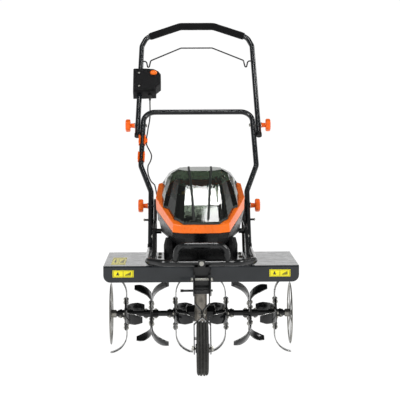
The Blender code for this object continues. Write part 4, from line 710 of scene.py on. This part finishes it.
def tines():
    """Hubs, blades with their bolts, and the pins that hold the hubs on the shaft."""
    places = []
    pins = []
    for side, mark in ((-1, "left"), (1, "right")):
        for name, place, phase, bends in HUBS:
            root_x = side * (place - 0.002 - 0.0004 - BLADE_THICK / 2)
            bm = bmesh.new()
            for k, bend in enumerate(bends):
                blade(bm, root_x, phase + 90 * k, side * bend)
            washer = [(-0.0016, 0.0145), (-0.0016, 0.027), (0.0016, 0.027), (0.0016, 0.0145)]
            add_lathe(bm, "X", SHAFT + Vector((root_x, 0, 0)), washer, 40, closed=True)
            node = f"blades_{name}_{mark}"
            piece(f"{node}_ground", bm, "tines", BLACK, EDGE_STEEL, stands_for=(node,), angle=38)
            dressed(f"hub_{name}_{mark}", BLACK, 0.0007)
            for k in range(4):
                angle = math.radians(phase + 90 * k)
                out = Vector((0, -math.sin(angle), math.cos(angle)))
                aside = Vector((0, -out.z, out.y)) * 0.0075
                for along, shift in ((0.049, -1), (0.040, 1)):
                    spot = SHAFT + out * along + aside * shift
                    outer = spot + Vector((side * (place + 0.002), 0, 0))
                    inner = spot + Vector((root_x - side * BLADE_THICK / 2, 0, 0))
                    places.append((outer, (side, 0, 0), 0.0068))
                    places.append((inner, (-side, 0, 0), 0.0068))
            turn = math.radians(phase + 45)
            way = Vector((0, math.cos(turn), math.sin(turn)))
            for along in (-0.017, 0.017):
                spot = SHAFT + Vector((side * place + along, 0, 0))
                pins.append((spot + way * 0.0128, way, 0.0062))
                pins.append((spot - way * 0.0128, -way, 0.0062))
    bolts("blade_bolts", "tines", places)
    bolts("hub_pins", "tines", pins)
    dressed("tine_shaft", BLACK, 0.0010)


def guard_disc(side, mark):
    """A pressed steel disc: rolled rim, six tapered spokes with a raised rib each, and a sleeve."""
    node = f"guard_disc_{mark}"
    x = side * 0.311
    centre = SHAFT + Vector((x, 0, 0))
    bm = bmesh.new()
    inner, outer = 0.0945, 0.1075
    rim = []
    for k in range(12):
        turn = math.tau * k / 12
        rim.append((0.0026 * math.sin(turn), (inner + outer) / 2 + (outer - inner) / 2 * math.cos(turn)))
    add_lathe(bm, "X", centre, rim, 96, closed=True)
    sleeve = [(-side * 0.018, 0.0106), (-side * 0.018, 0.0135), (-side * 0.0025, 0.0140)]
    sleeve += [(-side * 0.0022, 0.0235)]
    sleeve += [(side * 0.0008, 0.0250), (side * 0.0022, 0.0235), (side * 0.0022, 0.0106)]
    add_lathe(bm, "X", centre, sleeve, 40, closed=True)
    for k in range(6):
        angle = math.radians(60 * k + 15)
        way = Vector((0, math.cos(angle), math.sin(angle)))
        aside = Vector((0, -way.z, way.y))
        rings = []
        for reach, wide, thick in ((0.0215, 0.0085, 0.0013), (0.035, 0.0068, 0.0015),
                                   (0.070, 0.0048, 0.0015), (0.088, 0.0052, 0.0015),
                                   (0.0965, 0.0080, 0.0012)):
            ring = []
            for j in range(10):
                turn = math.tau * j / 10
                lift = Vector((1, 0, 0)) * thick * math.sin(turn)
                ring.append(bm.verts.new(centre + way * reach + aside * wide * math.cos(turn) + lift))
            rings.append(ring)
        skin(bm, rings)
    piece(f"{node}_pressing", bm, "tines", DISC_STEEL, stands_for=(node,), angle=40)
    bm = bmesh.new()
    end = SHAFT + Vector((side * 0.3148, 0, 0))
    add_tube(bm, [end - Vector((0, 0.016, 0)) + Vector((-side * 0.012, 0, 0)),
                  end + Vector((0, 0.016, 0)) + Vector((-side * 0.012, 0, 0))], 0.0016, 10)
    piece(f"{node}_split_pin", bm, "tines", ZINC)


# ---------------------------------------------------------------- fender, bumper and uprights
def label(name, low, high, axis):
    """A plain yellow plate with a printed border and neutral shapes."""
    bm = bmesh.new()
    add_box(bm, low, high)
    piece(name, bm, "chassis", LABEL, bevel=0.0001, steps=1)
    ink = bmesh.new()
    lift = 0.00016

    def mark(a0, a1, b0, b1):
        """A printed area, as shares of the plate's width and height."""
        span_a = high[0] - low[0]
        x0, x1 = low[0] + span_a * a0, low[0] + span_a * a1
        if axis == "Y":
            span_b = high[2] - low[2]
            corner = (x0, low[1] - lift, low[2] + span_b * b0)
            far = (x1, low[1] + lift, low[2] + span_b * b1)
        else:
            span_b = high[1] - low[1]
            corner = (x0, low[1] + span_b * b0, high[2] - lift)
            far = (x1, low[1] + span_b * b1, high[2] + lift)
        add_box(ink, corner, far)

    for bar in ((0.03, 0.97, 0.06, 0.10), (0.03, 0.97, 0.90, 0.94),
                (0.03, 0.045, 0.06, 0.94), (0.955, 0.97, 0.06, 0.94)):
        mark(*bar)
    mark(0.49, 0.51, 0.15, 0.85)
    mark(0.17, 0.32, 0.30, 0.44)
    mark(0.21, 0.28, 0.44, 0.72)
    for step in range(5):
        mark(0.60 + 0.055 * step, 0.64 + 0.055 * step, 0.26, 0.38 + 0.09 * step)
    piece(f"{name}_print", ink, "chassis", LABEL_INK)


def fender():
    low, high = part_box("fender")
    dressed("fender", FENDER_COAT, 0.0007, 2, 50)
    face = low.y - 0.0003
    label("fender_label_front_left", (-0.296, face, 0.2895), (-0.226, face + 0.0003, 0.3135), "Y")
    label("fender_label_front_right", (0.228, face, 0.2895), (0.298, face + 0.0003, 0.3135), "Y")
    label("fender_label_top", (-0.304, -0.325, high.z), (-0.256, -0.130, high.z + 0.0003), "Z")
    places = []
    for side in (-1, 1):
        for y in (-0.255, -0.125, -0.030):
            places.append((Vector((side * 0.142, y, high.z)), (0, 0, 1), 0.0075))
    for x in (-0.035, 0.035):
        places.append((Vector((x, -0.265, high.z)), (0, 0, 1), 0.0075))
    for x in (-0.014, 0.014):
        for y in (-0.105, -0.030):
            places.append((Vector((x, y, high.z + 0.0054)), (0, 0, 1), 0.0065))
    bolts("fender_bolts", "chassis", places)


def bumper():
    """The low tube and its loop, with a weld bead where they meet."""
    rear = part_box("front_bumper")[1].y
    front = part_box("front_bumper")[0].y + TUBE + 0.0036
    half = [(0.1765, rear, BUMPER_Z), (0.1765, front + 0.055, BUMPER_Z), (0.1265, front, BUMPER_Z)]
    bm = bmesh.new()
    add_tube(bm, rounded(mirrored(half), 0.045, 12), BUMPER_SKIN, 28)
    loop = [(0.0855, front, BUMPER_Z), (0.0805, front - 0.004, BUMPER_Z + 0.058)]
    add_tube(bm, rounded(mirrored(loop), 0.040, 14), BUMPER_SKIN - 0.0004, 28)
    piece("front_bumper_finish", bm, "chassis", BLACK, stands_for=("front_bumper",), bevel=0.0006)
    bm = bmesh.new()
    for side in (-1, 1):
        foot = Vector((side * 0.0852, front, BUMPER_Z))
        ring = []
        for k in range(49):
            turn = math.tau * k / 48
            x, y = 0.0115 * math.cos(turn), 0.0115 * math.sin(turn)
            z = math.sqrt(max(0.0, (BUMPER_SKIN + 0.0008) ** 2 - y * y * 0.93))
            wobble = 0.0003 * math.sin(k * 2.4)
            ring.append(foot + Vector((x, y, z + wobble)))
        add_tube(bm, ring, 0.0017, 8)
    piece("front_bumper_welds", bm, "chassis", BLACK)


def uprights():
    for mark in ("left", "right"):
        dressed(f"upright_{mark}", BLACK, 0.0010, 3)
    places = []
    for side in (-1, 1):
        peg = Vector((side * 0.199, PEG.y, PEG.z))
        places.append((peg, (side, 0, 0), 0.0058))
        places.append((Vector((side * 0.1656, -0.160, 0.4045)), (side, 0, 0), 0.0072))
        places.append((Vector((side * 0.1656, -0.245, FENDER_TOP + 0.018)), (side, 0, 0), 0.0065))
    bolts("upright_bolts", "chassis", places)
    dressed("stake_holder", BLACK, 0.0008)
    dressed("depth_stake", BLACK, 0.0007)
    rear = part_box("stake_holder")[1].y
    stake_low, stake_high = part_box("depth_stake")
    y = (stake_low.y + stake_high.y) / 2 + 0.009
    bm = bmesh.new()
    z = FENDER_TOP + 0.018
    add_tube(bm, [(0, rear + 0.014, z), (0, y, z)], 0.0024, 14)
    ring = [(0.0, rear + 0.0135 + 0.008 * math.sin(t), z - 0.009 + 0.009 * math.cos(t))
            for t in (math.tau * k / 24 for k in range(25))]
    add_tube(bm, ring, 0.0011, 8)
    piece("stake_pull_pin", bm, "chassis", ZINC)


# ---------------------------------------------------------------- drive
def drive():
    for node in ("gearbox_case_left", "gearbox_case_right"):
        case = dressed(node, ALLOY, 0.0008)
        # faces of the case further from the middle than COLUMN_HALF are drawn black instead of alloy
        case.data.materials.append(BLACK)
        for face in case.data.polygons:
            if abs(face.center.x) > COLUMN_HALF:
                face.material_index = 1
    dressed("motor", ALLOY, 0.0012)
    dressed("worm_shaft", ZINC, 0.0002, 1)
    dressed("worm_wheel", BRONZE, 0.0001, 1)
    dressed("shaft_bearing_left", ZINC, 0.0003)
    dressed("shaft_bearing_right", ZINC, 0.0003)
    bm = bmesh.new()
    for side in (-1, 1):
        cap = [(0.0432, 0.0125), (0.0432, 0.0285), (0.0450, 0.0300), (0.0480, 0.0290), (0.0500, 0.0250)]
        cap += [(0.0500, 0.0125)]
        add_lathe(bm, "X", SHAFT, [(side * a, r) for a, r in cap], 48, closed=True)
    piece("gearbox_seal_covers", bm, "chassis", BLACK_PLASTIC)
    places = []
    for side in (-1, 1):
        for k in range(6):
            turn = math.tau * (k + 0.5) / 6
            spot = SHAFT + Vector((side * 0.0431, 0.0235 * math.cos(turn), 0.0235 * math.sin(turn)))
            places.append((spot + Vector((side * 0.006, 0, 0)), (side, 0, 0), 0.0032))
    bolts("gearbox_cover_screws", "chassis", places)


# ---------------------------------------------------------------- battery head
def surface_z(node):
    """Looks down on a CAD node: returns a function that gives its height at x, y, or None."""
    bm = cad_mesh(node)
    tree = BVHTree.FromBMesh(bm)
    bm.free()

    def look(x, y):
        hit = tree.ray_cast(Vector((x, y, 2.0)), Vector((0, 0, -1)))
        return hit[0].z if hit[0] else None

    return look


def head():
    """Tub, bezel and smoked cover, with the cover's two ribs and its hinge."""
    dressed("housing_lower", BLACK_PLASTIC, 0.0025, 3, 40)
    dressed("orange_bezel", ORANGE, 0.0016, 3, 30)
    dressed("battery_cover", SMOKED, 0.0022, 3, 28)
    look = surface_z("battery_cover")
    low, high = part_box("battery_cover")
    for side, mark in ((-1, "left"), (1, "right")):
        bm = bmesh.new()
        line = []
        steps = 46
        for k in range(steps + 1):
            y = low.y + 0.0055 + (high.y - 0.012 - low.y - 0.0055) * k / steps
            share = k / steps
            x = side * (0.0235 + 0.0155 * min(1.0, share * 1.6))
            z = look(x, y)
            if z is not None:
                line.append(Vector((x, y, z)))
        rings = []
        for k, spot in enumerate(line):
            before, after = line[max(k - 1, 0)], line[min(k + 1, len(line) - 1)]
            way = (after - before).normalized()
            up = Vector((1, 0, 0)).cross(way).normalized()
            if up.z < 0:
                up = -up
            edge = Vector((1, 0, 0))
            rise = 0.0022 if 1 < k < len(line) - 2 else 0.0008
            section = ((-0.0042, -0.0006), (-0.0032, rise), (0.0032, rise), (0.0042, -0.0006))
            rings.append([bm.verts.new(spot + edge * a + up * b) for a, b in section])
        skin(bm, rings)
        piece(f"battery_cover_rib_{mark}", bm, "battery_cover", SMOKED_RIB, bevel=0.0006, steps=2, angle=50)
    hinge = Vector(JOINTS["cover_hinge"]["pos_m"])
    bm = bmesh.new()
    for x in (-0.055, 0.055):
        add_lathe(bm, "X", hinge + Vector((x, 0.004, -0.001)), [(-0.011, 0.0042), (0.011, 0.0042)], 24)
    piece("cover_hinge_knuckles", bm, "battery_cover", BLACK_PLASTIC, bevel=0.0006)
    bm = bmesh.new()
    for x in (-0.074, -0.036, 0.036, 0.074):
        add_lathe(bm, "X", hinge + Vector((x, 0.004, -0.001)), [(-0.0065, 0.0042), (0.0065, 0.0042)], 24)
        root = hinge + Vector((x, 0, 0))
        add_box(bm, root + Vector((-0.0065, 0.0015, -0.012)), root + Vector((0.0065, 0.0065, -0.001)))
    piece("cover_hinge_lugs", bm, "chassis", BLACK_PLASTIC, bevel=0.0006)
    bm = bmesh.new()
    add_lathe(bm, "X", hinge + Vector((0, 0.004, -0.001)), [(-0.083, 0.0018), (0.083, 0.0018)], 16)
    piece("cover_hinge_pin", bm, "chassis", ZINC)


def packs():
    """The two battery packs: ribbed body, grip cap, latch button and side stripe."""
    for side, mark in ((-1, "left"), (1, "right")):
        node = f"battery_{mark}"
        low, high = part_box(node)
        dressed(node, PACK_PLASTIC, 0.0022, 3, 30)
        bm = bmesh.new()
        for k in range(7):
            z = low.z + 0.014 + 0.0075 * k
            add_box(bm, (low.x + 0.008, low.y - 0.0012, z), (high.x - 0.008, low.y + 0.002, z + 0.0035))
        piece(f"{node}_ribs", bm, "chassis", PACK_PLASTIC, bevel=0.0005)
        middle = (low.x + high.x) / 2
        bm = bmesh.new()
        add_box(bm, (middle - 0.014, low.y + 0.004, high.z - 0.030),
                (middle + 0.014, low.y + 0.016, high.z - 0.0145))
        piece(f"{node}_latch", bm, "chassis", AMBER_PLASTIC if side < 0 else RED_PLASTIC, bevel=0.0015)
        bm = bmesh.new()
        add_box(bm, (middle - 0.021, high.y - 0.060, high.z - 0.001),
                (middle + 0.021, high.y - 0.020, high.z + 0.0015))
        piece(f"{node}_cap_plate", bm, "chassis", PALE_PLASTIC, bevel=0.001)
        bm = bmesh.new()
        outer = low.x if side < 0 else high.x
        add_box(bm, (outer - 0.0008, low.y + 0.010, low.z + 0.020),
                (outer + 0.0008, low.y + 0.040, low.z + 0.062))
        piece(f"{node}_stripe", bm, "chassis", AMBER_PLASTIC, bevel=0.0004)


# ---------------------------------------------------------------- switch box, cable and clips
def switch_box():
    dressed("switch_box_front", BOX_PLASTIC, 0.0016, 3, 30)
    dressed("switch_box_rear", BOX_PLASTIC, 0.0016, 3, 30)
    dressed("safety_button", ORANGE, 0.0012, 3, 40)
    dressed("cable_gland", CABLE_RUBBER, 0.0004)
    bm = bmesh.new()
    rings = []
    for grow, lift in ((0.0030, -0.0006), (0.0030, 0.0010), (0.0018, 0.0016),
                       (0.0010, 0.0010), (0.0010, -0.0006)):
        ring = []
        for k in range(48):
            turn = math.tau * k / 48
            x = BUTTON_PLACE[0] + (BUTTON_SIZE[0] + grow) * math.cos(turn)
            along = FOLD_PLACE + BUTTON_PLACE[1] + (BUTTON_SIZE[1] + grow) * math.sin(turn)
            ring.append(bm.verts.new(on_handle(x, along, BOX_FACE + lift)))
        rings.append(ring)
    skin(bm, rings, closed=True)
    piece("button_bezel", bm, "upper_handle", BOX_PLASTIC)
    bm = bmesh.new()
    for x, along in ((-0.226, 0.230), (-0.225, 0.166)):
        spot = on_handle(x, FOLD_PLACE + along, BOX_FACE)
        turn = Vector((0, 0, 1)).rotation_difference(OFF_HANDLE).to_matrix().to_4x4()
        first = len(bm.verts)
        screw = [(-0.0006, 0.0042), (0.0006, 0.0040), (0.0013, 0.0028), (0.0014, 0.0002)]
        add_lathe(bm, "Z", (0, 0, 0), screw, 24)
        bm.verts.ensure_lookup_table()
        bmesh.ops.transform(bm, matrix=Matrix.Translation(spot) @ turn, verts=bm.verts[first:])
    piece("box_screws", bm, "upper_handle", ZINC)
    for node in ("cable_clip_upper", "cable_clip_lower"):
        dressed(node, ORANGE_GRIP, 0.0005)
    for node in ("cable_upper", "cable_middle", "cable_lower"):
        dressed(node, CABLE_RUBBER, 0, 1, 60)


# ---------------------------------------------------------------- stage
def glow(name, place, aim, size, power, colour=(1, 1, 1)):
    """An area light that points at a place."""
    data = bpy.data.lights.new(name, "AREA")
    data.shape = "RECTANGLE"
    data.size, data.size_y = size
    data.energy = power
    data.color = colour
    made = bpy.data.objects.new(name, data)
    bpy.context.scene.collection.objects.link(made)
    made.location = place
    made.rotation_euler = (Vector(aim) - Vector(place)).to_track_quat("-Z", "Y").to_euler()


def stage():
    """A white floor that glows a little, a sky that darkens overhead, window lights and the camera."""
    bm = bmesh.new()
    bmesh.ops.create_circle(bm, cap_ends=True, radius=40, segments=64)
    mesh = bpy.data.meshes.new("floor")
    bm.to_mesh(mesh)
    bm.free()
    floor = bpy.data.objects.new("floor", mesh)
    bpy.context.scene.collection.objects.link(floor)
    floor.location.z = -0.0005
    pale = Recipe("pale_floor", (0.12, 0.12, 0.12), 0.8)
    drift = pale.spread(pale.noise(0.8, 3), 0, 1)
    pale.colour(pale.mix(drift, (0.115, 0.115, 0.115), (0.125, 0.125, 0.125)))
    pale.shader.inputs["Specular IOR Level"].default_value = 0.0
    pale.shader.inputs["Emission Color"].default_value = (1, 1, 1, 1)
    pale.shader.inputs["Emission Strength"].default_value = 1.0
    mesh.materials.append(pale.material)
    world = bpy.data.worlds.new("studio")
    bpy.context.scene.world = world
    world.use_nodes = True
    world.node_tree.nodes["Background"].inputs["Color"].default_value = (1, 1, 1, 1)
    nodes, links = world.node_tree.nodes, world.node_tree.links
    split = nodes.new("ShaderNodeSeparateXYZ")
    links.new(nodes.new("ShaderNodeTexCoord").outputs["Generated"], split.inputs[0])
    sky = nodes.new("ShaderNodeMapRange")
    sky.interpolation_type = "SMOOTHSTEP"
    sky.inputs["From Min"].default_value = 0.10
    sky.inputs["From Max"].default_value = 0.45
    sky.inputs["To Min"].default_value = 1.02
    sky.inputs["To Max"].default_value = 0.16
    links.new(split.outputs["Z"], sky.inputs["Value"])
    links.new(sky.outputs["Result"], nodes["Background"].inputs["Strength"])
    glow("key_left", (-2.6, -2.6, 3.2), (0, 0, 0.5), (0.9, 1.2), 74)
    glow("key_right", (2.8, -1.6, 2.6), (0, 0, 0.5), (0.5, 1.5), 55)
    glow("skylight", (0.01, -0.29, 3.6), (0.01, -0.29, 0), (0.44, 0.24), 7.5)
    glow("skylight_low", (0.20, -0.60, 3.6), (0.20, -0.60, 0), (0.20, 0.16), 1.8)
    glow("skylight_side", (2.88, 1.51, 3.06), (0.06, -0.34, 0.54), (0.5, 0.36), 12)
    glow("window", (0.1, -3.4, 3.4), (0, -0.2, 0.5), (0.42, 0.26), 11)
    camera = bpy.data.cameras.new("camera")
    camera.lens = 122.1
    camera.sensor_width = 36
    camera.clip_end = 100
    seen = bpy.data.objects.new("camera", camera)
    bpy.context.scene.collection.objects.link(seen)
    seen.location = (-0.066, -4.870, 0.910)
    turn = Matrix.Rotation(math.radians(-0.80), 3, "Z") @ Matrix.Rotation(math.radians(85.4), 3, "X")
    seen.rotation_euler = (turn @ Matrix.Rotation(math.radians(-0.25), 3, "Z")).to_euler()
    bpy.context.scene.camera = seen
    bpy.context.scene.view_settings.view_transform = "Standard"


lower_handle()
upper_handle()
foam_grip()
bail_lever()
for place in ("clamp", "fold"):
    knob(f"{place}_knob_left", -1)
    knob(f"{place}_knob_right", 1)
wheel()
wheel_mount()
tines()
guard_disc(-1, "left")
guard_disc(1, "right")
fender()
bumper()
uprights()
drive()
head()
packs()
switch_box()
stage()
